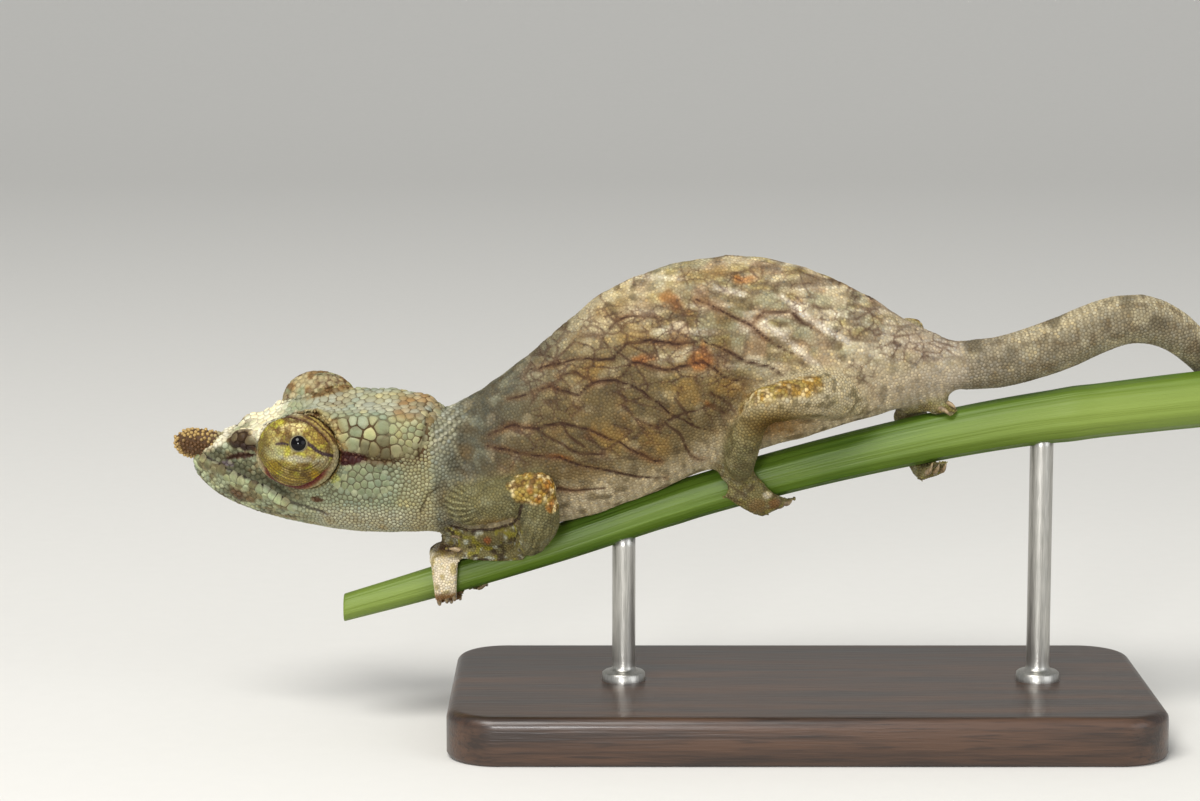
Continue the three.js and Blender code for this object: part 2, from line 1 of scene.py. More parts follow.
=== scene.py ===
"""Looks of a nose-horned chameleon, life size, walking down a cut stem on a display stand.

One skin is drawn over the flesh of the frame, and thousands of small scales are laid on it. The
eyes, the nose horn, the claws, the stem and the stand are pieces of their own. Shapes are worked
out in millimetres in the animal's own frame and brought into the frame of the model at the end.
"""

import math

import bmesh
import bpy
import numpy as np
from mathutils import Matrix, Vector
from mathutils.bvhtree import BVHTree
from mathutils.kdtree import KDTree


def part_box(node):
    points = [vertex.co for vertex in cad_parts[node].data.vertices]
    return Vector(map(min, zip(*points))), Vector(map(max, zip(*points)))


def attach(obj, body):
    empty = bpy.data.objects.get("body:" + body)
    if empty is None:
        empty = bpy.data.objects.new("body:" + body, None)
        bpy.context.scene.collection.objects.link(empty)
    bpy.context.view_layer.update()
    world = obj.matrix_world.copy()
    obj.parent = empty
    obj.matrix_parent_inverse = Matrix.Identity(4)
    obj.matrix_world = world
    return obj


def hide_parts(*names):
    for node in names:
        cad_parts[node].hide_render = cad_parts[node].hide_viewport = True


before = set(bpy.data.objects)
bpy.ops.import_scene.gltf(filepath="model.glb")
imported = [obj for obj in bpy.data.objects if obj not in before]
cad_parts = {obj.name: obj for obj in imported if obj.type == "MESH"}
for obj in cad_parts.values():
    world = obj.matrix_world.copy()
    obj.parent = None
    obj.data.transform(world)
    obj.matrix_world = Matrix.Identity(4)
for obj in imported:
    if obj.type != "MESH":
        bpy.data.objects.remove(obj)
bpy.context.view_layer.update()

bl_info = {
    "name": "Nose-horned chameleon",
    "version": (1, 0, 0),
    "blender": (4, 5, 0),
    "location": "3D View > Sidebar > Chameleon",
    "description": "Skin, scales, eyes, claws, perch and stand of a life-size chameleon model",
    "category": "Object",
}

MM = 0.001

# ---- Sizes taken over from the frame ----

# The animal's frame stands over the middle of the base: its X is 13.5 mm ahead of that middle, and
# its zero height is 22.2 mm above the base's underside.
BASE_LOW, BASE_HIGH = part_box("stand_base")
ORIGIN = np.array([
    (BASE_LOW.x + BASE_HIGH.x) / 2 / MM - 13.5,
    (BASE_LOW.y + BASE_HIGH.y) / 2 / MM,
    BASE_LOW.z / MM + 22.2,
])

STEM_LINE = [[-17.2, -14.1], [-11.3, -12.4], [-2.7, -9.65], [6.7, -6.45], [17.3, -3.6],
             [26.7, -1.65], [37.3, -0.25], [53.0, 1.15]]  # x, height of the stem's middle
STEM_RADIUS = [[-17.2, 0.9], [-2.7, 1.3], [17.3, 1.58], [37.3, 1.85], [53.0, 1.95]]

HEAD_AT = np.array([-10.87, -0.8, -2.2])
HEAD_TURN = math.radians(10.5)
HEAD_ROLL = math.radians(17)
EYE = np.array([8.75, 3.15, 0.0])  # middle of a turret: forward, out, up
TURRET = np.array([2.72, 1.96, 2.53])  # its radii
GAZE = np.array([-0.62, 1.57, 1.39])  # from its middle to the opening of its lids
RIGHT_LIFT = 0.33  # how much higher the right turret stands
LID_REACH = 2.62  # how far the lids lie from a turret's middle
TURRET_WIDE = 2.6  # radius of a turret seen face on, which turns its shares into millimetres
TURRET_BACK = 2.08  # angle from the gaze past which a turret is hidden in the head
SOCKET = 1.03  # shares of a turret's radii within which the head's skin is the wall of its socket
FACE = np.array([-0.136, 0.932, 0.339])  # middle of a turret's bulging face, in shares of its radii
CREST = [[0, 1.75, 1.8], [2.5, 2.35, 2.3], [6, 2.4, 2.25], [9, 2.15, 2.2], [11.5, 1.85, 1.05],
         [13.5, 1.45, 0.1], [15.1, 1.0, -0.85], [16.3, 0.65, -1.45]]
MOUTH = [[17.3, -1.6], [16.2, -1.6], [15.09, -1.79], [14.16, -2.23], [12.91, -2.61], [11.46, -3.04],
         [9.8, -3.93], [7.74, -4.35], [7.1, -4.55]]  # forward, up
HORN_AT = np.array([16.7, 0, -1.1])
HORN_SIZE = np.array([1.5, 0.64, 1.0])

TOE_DEEP = 0.95
TOE_TAPER = 0.7
CLAW_LENGTH = 0.85
# Where each foot sits along the stem, and its two bundles of toes: how many toes, the angles round
# the stem where a bundle starts and ends, its drift along the stem, its width and its lift.
FEET = {
    "left_hand": (-4.9, (2, 62, 36, -4.3, 1.9, 1.15), (3, 0, -125, -3.2, 2.0, 0)),
    "right_hand": (-10.4, (2, -40, -150, 0.6, 1.7, 0), (3, 8, 124, 0.15, 2.15, 0)),
    "left_foot": (9.0, (3, 72, 160, 2.9, 2.2, 0), (2, 5, -125, 1.2, 1.8, 0)),
    "right_foot": (20.9, (3, -72, -198, 1.4, 2.1, 0), (2, -25, 22, 1.9, 1.8, 0)),
}

REGIONS = {
    "head": ("head", "lower_jaw", "casque"),
    "neck": ("neck",),
    "trunk": ("chest", "belly", "hips"),
    "tail": tuple(f"tail_{i}" for i in range(1, 7)),
    "arm": ("left_upper_arm", "left_forearm", "right_upper_arm", "right_forearm"),
    "leg": ("left_thigh", "left_shank", "right_thigh", "right_shank"),
    "foot": tuple(f"{side}_{foot}{part}" for side in ("left", "right") for foot in ("hand", "foot")
                  for part in ("", "_outer_toes", "_inner_toes")),
}
FLESH = [node for group in REGIONS.values() for node in group]
TURRETS = ("left_eye_turret", "right_eye_turret")
PARTS = (*REGIONS, "turret")  # what the skin's places can be part of


def in_row(points):
    """Millimetres in the animal's frame, as metres in the frame of the model."""
    return (np.asarray(points, float) + ORIGIN) * MM


def _head_axes():
    forward = np.array([-math.cos(HEAD_TURN), math.sin(HEAD_TURN), 0])
    level = np.array([-math.sin(HEAD_TURN), -math.cos(HEAD_TURN), 0])
    up = np.array([0, 0, math.cos(HEAD_ROLL)]) + level * math.sin(HEAD_ROLL)
    out = level * math.cos(HEAD_ROLL) - np.array([0, 0, math.sin(HEAD_ROLL)])
    return np.array([forward, out, up])


HEAD_AXES = _head_axes()


def to_head(points):
    return (points - HEAD_AT) @ HEAD_AXES.T


def from_head(points):
    return HEAD_AT + np.asarray(points, float) @ HEAD_AXES


# ---- Settings ----


def linear(srgb):
    c = np.asarray(srgb, float) / 255
    return np.where(c <= 0.04045, c / 12.92, ((c + 0.055) / 1.055) ** 2.4)


def shown(colour):
    """A linear colour as the eye grades it, from 0 to 1, which is how markings are mixed."""
    c = np.clip(np.asarray(colour, float), 0, 1)
    return np.where(c <= 0.0031308, c * 12.92, 1.055 * c ** (1 / 2.4) - 0.055)


def length(name, size, text):
    """A size that is given in millimetres and kept in metres."""
    return bpy.props.FloatProperty(name=name, description=text, default=size * MM, min=0,
                                   unit="LENGTH", precision=5)


def strength(name, value, text):
    return bpy.props.FloatProperty(name=name, description=text, default=value, min=0)


def integer(name, value, text):
    return bpy.props.IntProperty(name=name, description=text, default=value, min=1)


def share(name, value, text, most=1.0):
    return bpy.props.FloatProperty(name=name, description=text, default=value, min=0, max=most,
                                   subtype="FACTOR")


def colour(name, srgb, text):
    return bpy.props.FloatVectorProperty(name=name, description=text, size=3, min=0, max=1,
                                         default=tuple(linear(srgb)), subtype="COLOR")


class SkinSettings(bpy.types.PropertyGroup):
    voxel: length("Fineness", 0.2, "Size of the steps in which the skin is drawn")
    weld: length("Weld", 0.2, "How far the flesh is swollen to close the gaps between solids")
    coat: length("Coat depth", 0.09, "How far the skin lies under the tops of the scales")
    furrow: length("Furrow depth", 0.09, "Depth of the branching furrows on the flanks")
    mouth: length("Mouth depth", 0.2, "Depth of the line of the mouth")
    fold: length("Fold height", 0.05, "Height of the folds on the turrets")
    thin: share("Thinning", 0.54, "Share of the skin's triangles that is kept where it is smooth")


class ScaleSettings(bpy.types.PropertyGroup):
    trunk: length("Flank", 0.24, "Spacing of the scales on the flanks")
    belly: length("Belly", 0.23, "Spacing of the scales along the belly")
    neck: length("Neck", 0.26, "Spacing of the granules on the neck")
    temple: length("Temple", 0.9, "Spacing of the large plates behind the eye")
    casque: length("Casque", 0.6, "Spacing of the plates on the crown and the casque")
    snout: length("Snout", 0.42, "Spacing of the scales on the snout and the lips")
    throat: length("Throat", 0.28, "Spacing of the granules on the throat")
    turret: length("Turret", 0.2, "Spacing of the granules on the turrets")
    limb: length("Limbs", 0.24, "Spacing of the scales on the limbs")
    toe: length("Toes", 0.2, "Spacing of the scales on hands and feet")
    tail: length("Tail", 0.25, "Spacing of the scales on the tail")
    gap: share("Gap", 0.035, "Share of a scale's width that is left free round it")
    height: share("Height", 0.17, "Height of a granule as a share of its width")
    rounds: integer("Rounds", 12, "How often the scales are evened out")
    seed: integer("Seed", 7, "Changes the scatter of the scales")


class ColourSettings(bpy.types.PropertyGroup):
    flank: colour("Flank", (89, 75, 45), "Middle of the flanks")
    back: colour("Back", (206, 192, 156), "Ridge of the back")
    belly: colour("Belly", (180, 166, 136), "Lower flanks and belly")
    vein: colour("Furrows", (38, 14, 6), "Branching furrows of the flanks")
    rust: colour("Rust", (138, 80, 30), "Rusty smudges of the flanks")
    neck: colour("Neck", (113, 115, 98), "Granules of the neck")
    crown: colour("Crown", (164, 164, 142), "Plates of the crown")
    temple: colour("Temple", (134, 139, 111), "Plates behind the eye")
    cheek: colour("Cheek", (112, 118, 94), "Green patch of the cheek")
    throat: colour("Throat", (148, 146, 122), "Throat and jaw")
    casque: colour("Casque tip", (146, 108, 62), "Tip of the casque")
    seams: colour("Seams", (66, 46, 24), "Skin between the plates of the head")
    blood: colour("Eye patch", (44, 4, 0), "Dark patch behind the eye")
    turret: colour("Turret", (152, 138, 68), "Yellow of the turrets")
    horn: colour("Horn", (84, 54, 16), "Nose horn")
    tail: colour("Tail", (120, 111, 90), "Tail")
    arm: colour("Limbs", (98, 92, 58), "Arms and shanks")
    joint: colour("Elbow and knee", (138, 117, 54), "Tubercles of elbow and knee")
    foot: colour("Feet", (112, 104, 65), "Hands and feet")
    claw: colour("Claws", (124, 106, 78), "Claws")


class EyeSettings(bpy.types.PropertyGroup):
    radius: length("Radius", 0.78, "Radius of an eyeball")
    lid: length("Opening", 0.6, "Radius of the opening of the lids")
    iris: colour("Iris", (126, 118, 94), "Thin ring round the pupil")
    pupil: colour("Pupil", (4, 3, 5), "Dark middle of the eye")


class PerchSettings(bpy.types.PropertyGroup):
    rib: share("Ribs", 0.045, "Depth of the lengthwise ribs as a share of the radius", 0.2)
    green: colour("Stem", (64, 92, 14), "Flanks of the stem")
    light: colour("Light ribs", (108, 132, 40), "Ribs and nodes of the stem")
    cut: colour("Cut ends", (206, 214, 160), "Pith in the cut ends")


class StandSettings(bpy.types.PropertyGroup):
    rod: length("Rod radius", 0.78, "Radius of the two rods")
    wood: colour("Wood", (74, 50, 34), "Dark wood of the base")
    grain: colour("Grain", (40, 26, 18), "Grain of the base")
    metal: colour("Metal", (190, 188, 182), "Brushed rods")


class StageSettings(bpy.types.PropertyGroup):
    elevation: bpy.props.FloatProperty(name="Camera height", description="Angle above the horizon",
                                       default=math.radians(8), subtype="ANGLE")
    distance: length("Camera distance", 222.2, "From the camera to the middle of the animal")
    floor: colour("Floor", (226, 224, 219), "Floor and backdrop")
    key: strength("Key light", 2.1, "Power of the main soft light")
    fill: strength("Fill light", 0.5, "Power of the second soft light")
    sky: strength("Surround", 0.52, "Strength of the light all round")


class ChameleonSettings(bpy.types.PropertyGroup):
    skin: bpy.props.PointerProperty(type=SkinSettings)
    scales: bpy.props.PointerProperty(type=ScaleSettings)
    colours: bpy.props.PointerProperty(type=ColourSettings)
    eye: bpy.props.PointerProperty(type=EyeSettings)
    perch: bpy.props.PointerProperty(type=PerchSettings)
    stand: bpy.props.PointerProperty(type=StandSettings)
    stage: bpy.props.PointerProperty(type=StageSettings)


def settings():
    return bpy.context.scene.chameleon


# ---- Numbers ----


def step(low, high, x):
    t = np.clip((x - low) / (high - low), 0, 1)
    return t * t * (3 - 2 * t)


def bell(x, width):
    return np.exp(-((x / width) ** 2))


def waves(x, width, wobble):
    """Rows that come back every `width` millimetres, from -1 to 1."""
    return np.sin(x * 2 * np.pi / width + wobble)


def unit(vectors):
    return vectors / np.maximum(np.linalg.norm(vectors, axis=-1, keepdims=True), 1e-12)


def mixed(base, other, amount):
    return base + (other - base) * amount


def oval(x, y, at, size):
    """How far places lie from the middle of an oval, in shares of its half widths."""
    return np.hypot((x - at[0]) / size[0], (y - at[1]) / size[1])


def turns(count):
    """Angles of even steps round a circle."""
    return np.arange(count) * 2 * np.pi / count


def straight(line, places):
    """A line of straight lengths through [place, height], read at any places."""
    at, height = np.array(sorted(line)).T
    return np.interp(places, at, height)


def along(rows, places):
    """A smooth line through rows of [place, value], read at any places."""
    rows = np.asarray(rows, float)
    x, y = rows[:, 0], rows[:, 1]
    slope = np.gradient(y, x)
    i = np.clip(np.searchsorted(x, places) - 1, 0, len(x) - 2)
    span = x[i + 1] - x[i]
    t = np.clip((places - x[i]) / span, 0, 1)
    return (y[i] * (2 * t**3 - 3 * t**2 + 1) + slope[i] * span * (t**3 - 2 * t**2 + t)
            + y[i + 1] * (3 * t**2 - 2 * t**3) + slope[i + 1] * span * (t**3 - t**2))


def reach(line, points):
    """How far each point is from a bent line, and which share of the line is nearest."""
    line = np.asarray(line, float)
    best, where = np.full(len(points), np.inf), np.zeros(len(points))
    for k, (a, b) in enumerate(zip(line[:-1], line[1:])):
        span = b - a
        t = np.clip(((points - a) @ span) / (span @ span), 0, 1)
        far = np.linalg.norm(points - a - t[:, None] * span, axis=1)
        nearer = far < best
        best[nearer], where[nearer] = far[nearer], (k + t[nearer]) / (len(line) - 1)
    return best, where


def _hashed(cell, seed):
    h = (cell[..., 0] * 374761393 + cell[..., 1] * 668265263 + cell[..., 2] * 2147483629
         + seed * 1274126177) & 0xFFFFFFFF
    h = ((h ^ (h >> 13)) * 1274126177) & 0xFFFFFFFF
    return ((h ^ (h >> 16)) & 0xFFFFFF) / 0xFFFFFF


def clouds(points, size, seed):
    """Soft random values from -1 to 1 that change over about `size` millimetres."""
    q = np.asarray(points, float) / size
    cell = np.floor(q).astype(np.int64)
    f = q - cell
    f = f * f * (3 - 2 * f)
    total = 0
    for corner in np.ndindex(2, 2, 2):
        weight = np.prod(np.where(corner, f, 1 - f), axis=-1)
        total = total + weight * _hashed(cell + np.array(corner), seed)
    return total * 2 - 1


def blots(points, size, seed, low, high):
    """Random patches with soft edges: 0 where `clouds` is below `low`, 1 above `high`."""
    return step(low, high, clouds(points, size, seed))


def cracks(points, size, seed):
    """Distance to the nearest border between random cells, in shares of a cell."""
    q = np.asarray(points, float) / size
    cell = np.floor(q).astype(np.int64)
    first, second = np.full(len(q), 9.0), np.full(len(q), 9.0)
    for corner in np.ndindex(3, 3, 3):
        at = cell + np.array(corner) - 1
        spot = at + np.stack([_hashed(at, seed + k) for k in range(3)], axis=-1)
        far = np.linalg.norm(q - spot, axis=1)
        second = np.minimum(second, np.maximum(first, far))
        first = np.minimum(first, far)
    return second - first


# ---- Meshes ----


def mesh_of(name, points, *face_sets):
    """A smooth mesh from points in metres and arrays of faces with equally many corners."""
    mesh = bpy.data.meshes.new(name)
    mesh.vertices.add(len(points))
    mesh.vertices.foreach_set("co", np.asarray(points, np.float32).ravel())
    sizes = np.concatenate([np.full(len(f), f.shape[1], np.int32) for f in face_sets])
    corners = np.concatenate([f.ravel() for f in face_sets]).astype(np.int32)
    mesh.loops.add(len(corners))
    mesh.loops.foreach_set("vertex_index", corners)
    mesh.polygons.add(len(sizes))
    mesh.polygons.foreach_set("loop_start", np.concatenate([[0], np.cumsum(sizes)[:-1]]).astype(np.int32))
    mesh.update(calc_edges=True)
    mesh.validate()
    mesh.shade_smooth()
    return mesh


def closed_mesh(name, points, face_sets):
    """A closed mesh, facing outwards, from points in the animal's millimetres."""
    mesh = mesh_of(name, in_row(points), *face_sets)
    tool = bmesh.new()
    tool.from_mesh(mesh)
    bmesh.ops.recalc_face_normals(tool, faces=tool.faces)
    tool.to_mesh(mesh)
    tool.free()
    return mesh


def stood(name, data):
    """A new object in the scene."""
    thing = bpy.data.objects.new(name, data)
    bpy.context.scene.collection.objects.link(thing)
    return thing


def place(name, mesh, finish, slot, *nodes):
    """Puts a finished piece in the scene, riding on the animal's one body."""
    old = bpy.data.objects.get(name)
    if old:
        bpy.data.objects.remove(old)
    mesh.name = name
    mesh.materials.clear()
    mesh.materials.append(finish)
    piece = stood(name, mesh)
    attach(piece, "root")
    if nodes:
        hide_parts(*nodes)
    return piece


def changed(mesh, kind, inputs=(), **values):
    """A fresh mesh: this one with one modifier applied, told its settings and its named inputs."""
    holder = stood("holder", mesh)
    change = holder.modifiers.new("change", kind)
    for key, value in values.items():
        setattr(change, key, value)
    for key, value in dict(inputs).items():
        change[key] = value
    fresh = bpy.data.meshes.new_from_object(holder.evaluated_get(bpy.context.evaluated_depsgraph_get()))
    bpy.data.objects.remove(holder)
    return fresh


def taken(elements, field, width, kind=np.float32):
    """One field of all elements, a row for each."""
    values = np.empty(len(elements) * width, kind)
    elements.foreach_get(field, values)
    return values.reshape(-1, width)


def points_of(mesh):
    return taken(mesh.vertices, "co", 3).astype(float)


def normals_of(mesh):
    return taken(mesh.vertex_normals, "vector", 3).astype(float)


def edges_of(mesh):
    return taken(mesh.edges, "vertices", 2, np.int32)


def moved(mesh, points):
    mesh.vertices.foreach_set("co", np.asarray(points, np.float32).ravel())
    mesh.update()


def relaxed(values, edges, amount, rounds):
    """Values at the corners of a mesh, each drawn towards the mean of its neighbours."""
    values = np.array(values, float)
    flat = values.reshape(len(values), -1)
    a, b = edges[:, 0], edges[:, 1]
    n = len(flat)
    count = np.maximum(np.bincount(a, minlength=n) + np.bincount(b, minlength=n), 1)
    amount = np.broadcast_to(np.asarray(amount, float), (n,))
    for _ in range(rounds):
        for k in range(flat.shape[1]):
            v = flat[:, k]
            mean = (np.bincount(a, v[b], n) + np.bincount(b, v[a], n)) / count
            flat[:, k] = v + amount * (mean - v)
    return flat.reshape(values.shape)


def rings(rows):
    """A closed skin through rows of points, each row a ring, with a fan at either end."""
    rows = np.asarray(rows, float)
    count, sides = rows.shape[:2]
    i = np.arange(sides)
    j = (i + 1) % sides
    ring = np.column_stack([i, j, j + sides, i + sides])
    faces = np.concatenate([ring + r * sides for r in range(count - 1)])
    points = np.vstack([rows.reshape(-1, 3), rows[0].mean(0), rows[-1].mean(0)])
    first, last = np.full(sides, count * sides), (count - 1) * sides
    fans = np.concatenate([np.column_stack([first, j, i]), np.column_stack([first + 1, last + i, last + j])])
    return points, (faces, fans)


def turned_out(points, sets):
    """The faces of one closed shell, reversed if they point inwards."""
    fans = np.concatenate([np.column_stack([f[:, 0], f[:, k], f[:, k + 1]]) for f in sets
                           for k in range(1, f.shape[1] - 1)])
    a, b, c = (points[fans[:, k]] - points.mean(0) for k in range(3))
    return sets if (a * np.cross(b, c)).sum() > 0 else [f[:, ::-1] for f in sets]


def keep_values(mesh, name, values):
    layer = mesh.attributes.get(name) or mesh.attributes.new(name, "FLOAT", "POINT")
    layer.data.foreach_set("value", np.asarray(values, np.float32))


def kept_values(mesh, name):
    return taken(mesh.attributes[name].data, "value", 1)[:, 0].astype(float)


def keep_colours(mesh, graded):
    """Stores colours that were mixed as the eye grades them."""
    layer = mesh.attributes.get("markings") or mesh.attributes.new("markings", "FLOAT_COLOR", "POINT")
    rgba = np.ones((len(graded), 4), np.float32)
    rgba[:, :3] = linear(np.clip(graded, 0, 1) * 255)
    layer.data.foreach_set("color", rgba.ravel())


# ---- Finishes ----


class Value:
    """A number inside a finish, which takes part in ordinary arithmetic."""

    def __init__(self, tree, socket):
        self.tree, self.socket = tree, socket

    def _with(self, operation, *others, first=None):
        node = self.tree.nodes.new("ShaderNodeMath")
        node.operation = operation
        terms = ([first] if first is not None else []) + [self, *others]
        for socket, term in zip(node.inputs, terms):
            if isinstance(term, Value):
                self.tree.links.new(term.socket, socket)
            else:
                socket.default_value = term
        return Value(self.tree, node.outputs[0])

    def __add__(self, other):
        return self._with("ADD", other)

    __radd__ = __add__

    def __sub__(self, other):
        return self._with("SUBTRACT", other)

    def __rsub__(self, other):
        return self._with("SUBTRACT", first=other)

    def __mul__(self, other):
        return self._with("MULTIPLY", other)

    __rmul__ = __mul__

    def power(self, other):
        return self._with("POWER", other)

    def between(self, low, high):
        """0 up to `low`, 1 from `high` on, and even between."""
        span = self._with("SUBTRACT", low)._with("DIVIDE", high - low)
        span.socket.node.use_clamp = True
        return span


class Finish:
    """A material in the making. `node` adds any node to it."""

    def __init__(self, name):
        old = bpy.data.materials.get(name)
        if old:
            bpy.data.materials.remove(old)
        self.material = bpy.data.materials.new(name)
        self.material.use_nodes = True
        self.tree = self.material.node_tree
        self.surface = self.tree.nodes["Principled BSDF"]

    def node(self, kind, result=0, settings=(), **sockets):
        """Adds a node: first its settings, then its sockets, by name or as n and their number."""
        node = self.tree.nodes.new("ShaderNode" + kind)
        for key, value in dict(settings).items():
            setattr(node, key, value)
        for key, value in sockets.items():
            index = int(key[1:]) if key[0] == "n" and key[1:].isdigit() else key.replace("_", " ")
            self.join(node.inputs[index], value)
        return Value(self.tree, node.outputs[result])

    def join(self, socket, value):
        if isinstance(value, Value):
            self.tree.links.new(value.socket, socket)
        elif np.ndim(value) and socket.type == "RGBA":
            socket.default_value = (*value, 1)
        else:
            socket.default_value = value

    def put(self, **inputs):
        """Sets or links inputs of the surface; spaces in their names are written as _."""
        for key, value in inputs.items():
            self.join(self.surface.inputs[key.replace("_", " ")], value)
        return self.material

    def at(self):
        return self.node("TexCoord", "Object")

    def noise(self, size, detail=2.0, rough=0.5, at=None, stretch=None):
        """Even noise whose grain is `size` millimetres, from about 0.3 to 0.7."""
        at = at or self.at()
        if stretch:
            at = self.node("Mapping", Vector=at, Scale=stretch)
        return self.node("TexNoise", "Fac", Vector=at, Scale=1 / (size * MM), Detail=detail, Roughness=rough)

    def blend(self, amount, low, high, way="MIX"):
        return self.node("Mix", 2, {"data_type": "RGBA", "blend_type": way}, n0=amount, n6=low, n7=high)

    def relief(self, height, depth):
        """A bump whose full height is `depth` millimetres."""
        return self.node("Bump", Height=height, Distance=depth * MM, Strength=1.0)

    def kept(self, name, result="Fac"):
        """Values or colours that the mesh keeps under a name."""
        return self.node("Attribute", result, {"attribute_name": name})

    def marked(self, tint):
        """The markings kept in the mesh, under a tint."""
        return self.blend(1.0, self.kept("markings", "Color"), tint, "MULTIPLY")


def shade(tone, much=1.0):
    """A colour made darker or lighter."""
    return tuple(np.array(tone) * much)


def skin_finish():
    f = Finish("skin_between_scales")
    fine = f.noise(0.09, 3)
    broad = f.noise(0.6, 2)
    tint = f.blend(fine.between(0.3, 0.7), (0.62, 0.6, 0.58), (1.18, 1.16, 1.12))
    tint = f.blend(broad.between(0.35, 0.65) * 0.4, tint, (1.05, 0.96, 0.86))
    return f.put(Base_Color=f.marked(tint), Roughness=0.6 + fine * 0.25, Specular_IOR_Level=0.2,
                 Normal=f.relief(fine + f.noise(0.04, 2) * 0.4, 0.03))


def scale_finish(name, gloss):
    """Horny scales: mottled across their tops, with a dull satin gloss."""
    f = Finish(name)
    fine = f.noise(0.07, 3, 0.6)
    mottle = f.noise(0.24, 2)
    tint = f.blend(fine.between(0.3, 0.7), (0.86, 0.85, 0.83), (1.1, 1.1, 1.09))
    tint = f.blend(mottle.between(0.42, 0.68) * 0.3, tint, (1.06, 1.01, 0.9))
    return f.put(Base_Color=f.marked(tint), Roughness=gloss + mottle * 0.22, Specular_IOR_Level=0.25,
                 Normal=f.relief(fine * 0.7 + mottle * 0.5, 0.018))


# ---- Markings ----

# Branching furrows of a flank, seen from the side: [x, height].
FURROWS = [
    [[-7.3, -2.0], [-5.6, -1.2], [-4.2, -1.45], [-2.6, -1.05], [-0.5, -1.5], [1.3, -2.2], [2.4, -3.0],
     [4.2, -3.6]],
    [[-7.4, -2.5], [-5.2, -3.0], [-2.6, -3.3], [0, -4.1], [2.3, -4.6], [4.4, -4.75]],
    [[-6.2, 0.4], [-4.6, 0.8], [-3.2, 1.25], [-1.4, 0.9], [-0.3, 1.7], [1.1, 1.9], [2.9, 1.15], [4.6, -0.3],
     [6.1, -1.2], [7.4, -1.6]],
    [[-5.0, 2.2], [-2.8, 2.8], [-1.0, 3.1], [0.9, 3.2], [1.7, 4.1], [3.3, 4.5], [5.0, 4.1], [6.6, 4.55]],
    [[1.3, 2.1], [2.0, 3.0], [4.4, 2.5], [6.6, 3.1], [8.2, 2.1], [9.6, 1.5]],
    [[6.6, 4.55], [8.0, 4.0], [9.5, 3.1], [11.0, 2.7], [12.3, 2.0]],
    [[6.4, 7.0], [8.0, 6.4], [9.8, 5.4], [11.6, 4.1], [13.6, 3.4]],
    [[4.3, -0.9], [5.2, -1.7], [6.0, -3.2], [6.9, -3.7]],
    [[2.4, -0.6], [3.8, -1.2], [4.3, -0.9], [5.3, -0.3], [7.4, 0.3], [8.6, -0.6]],
    [[-5.4, -4.6], [-3.4, -5.4], [-1.6, -5.5], [0.4, -5.4]],
    [[-2.6, -1.05], [-2.1, -1.8], [-0.9, -2.6]],
    [[-0.3, 1.7], [-1.6, 2.2], [-2.8, 2.1]],
    [[0.9, 3.2], [0.2, 4.6], [1.0, 5.6], [2.6, 6.0], [4.0, 5.6]],
    [[9.8, 5.4], [10.8, 6.4], [12.4, 6.2], [14.2, 5.0]],
    [[6.1, -1.2], [5.0, 0.6], [5.4, 1.6]],
    [[-4.2, -1.45], [-3.0, -2.2], [-1.2, -3.0], [0.4, -3.0]],
    [[7.2, 1.2], [8.4, 0.4], [9.0, -0.6], [8.8, -1.6]],
]
# Pale streaks high on a flank: [x, height].
STREAKS = [[[10.8, 5.6], [12.6, 4.2], [14.6, 2.4]], [[12.0, 7.2], [14.0, 5.6], [16.4, 4.2]],
           [[7.6, 7.8], [9.4, 7.4]]]
# Rusty smudges of a flank: [x, height, length, depth, turn in degrees].
SMUDGES = [[4.8, 6.9, 1.1, 0.55, -30], [6.6, 3.4, 0.9, 0.7, 60], [2.9, 3.3, 0.9, 0.35, 10],
           [-2.8, -3.2, 1.0, 0.22, -8], [7.0, 0.4, 0.5, 0.25, -30], [9.6, 8.3, 0.9, 0.3, 0]]
# Faint ochre clouds of a flank, told in the same way.
OCHRE = [[0.6, -1.8, 1.6, 0.9, -30], [3.6, -2.2, 1.5, 0.8, -35], [5.6, 1.2, 1.3, 1.0, 0],
         [2.0, 4.6, 1.6, 0.8, 20], [8.2, 1.6, 1.2, 0.8, -30], [7.4, 8.6, 2.0, 0.5, 5],
         [-0.6, 2.4, 1.3, 0.7, 20]]

# The face of a turret, as [ahead, over] in shares of its reach: the fold round it, the arcs under the
# eye as [distance from the eye, strength], the dark stripes, and patches of colour with their sizes.
TURRET_RIM = [[0.97, 0.34], [0.8, 0.68], [0.33, 0.95], [-0.04, 0.907], [-0.325, 0.804], [-0.59, 0.572],
              [-0.807, 0.314], [-0.93, 0], [-0.9, -0.2], [-0.83, -0.38], [-0.71, -0.51], [-0.542, -0.68],
              [-0.335, -0.845], [-0.03, -0.96], [0.253, -0.95], [0.499, -0.845], [0.65, -0.709],
              [0.759, -0.485], [0.9, -0.25], [0.98, 0]]
TURRET_ARCS = [[0.56, 0.4], [0.62, 0.45], [0.685, 1.0], [0.755, 0.6], [0.825, 0.6], [0.9, 0.7], [0.98, 0.6],
               [1.06, 0.6]]
TURRET_STRIPES = [([[0.44, 0.2], [0.3, 0.23], [0.17, 0.2]], 0.028),
                  ([[-0.29, 0.26], [-0.42, 0.17], [-0.54, 0.05], [-0.68, -0.03], [-1.0, -0.1]], 0.042)]
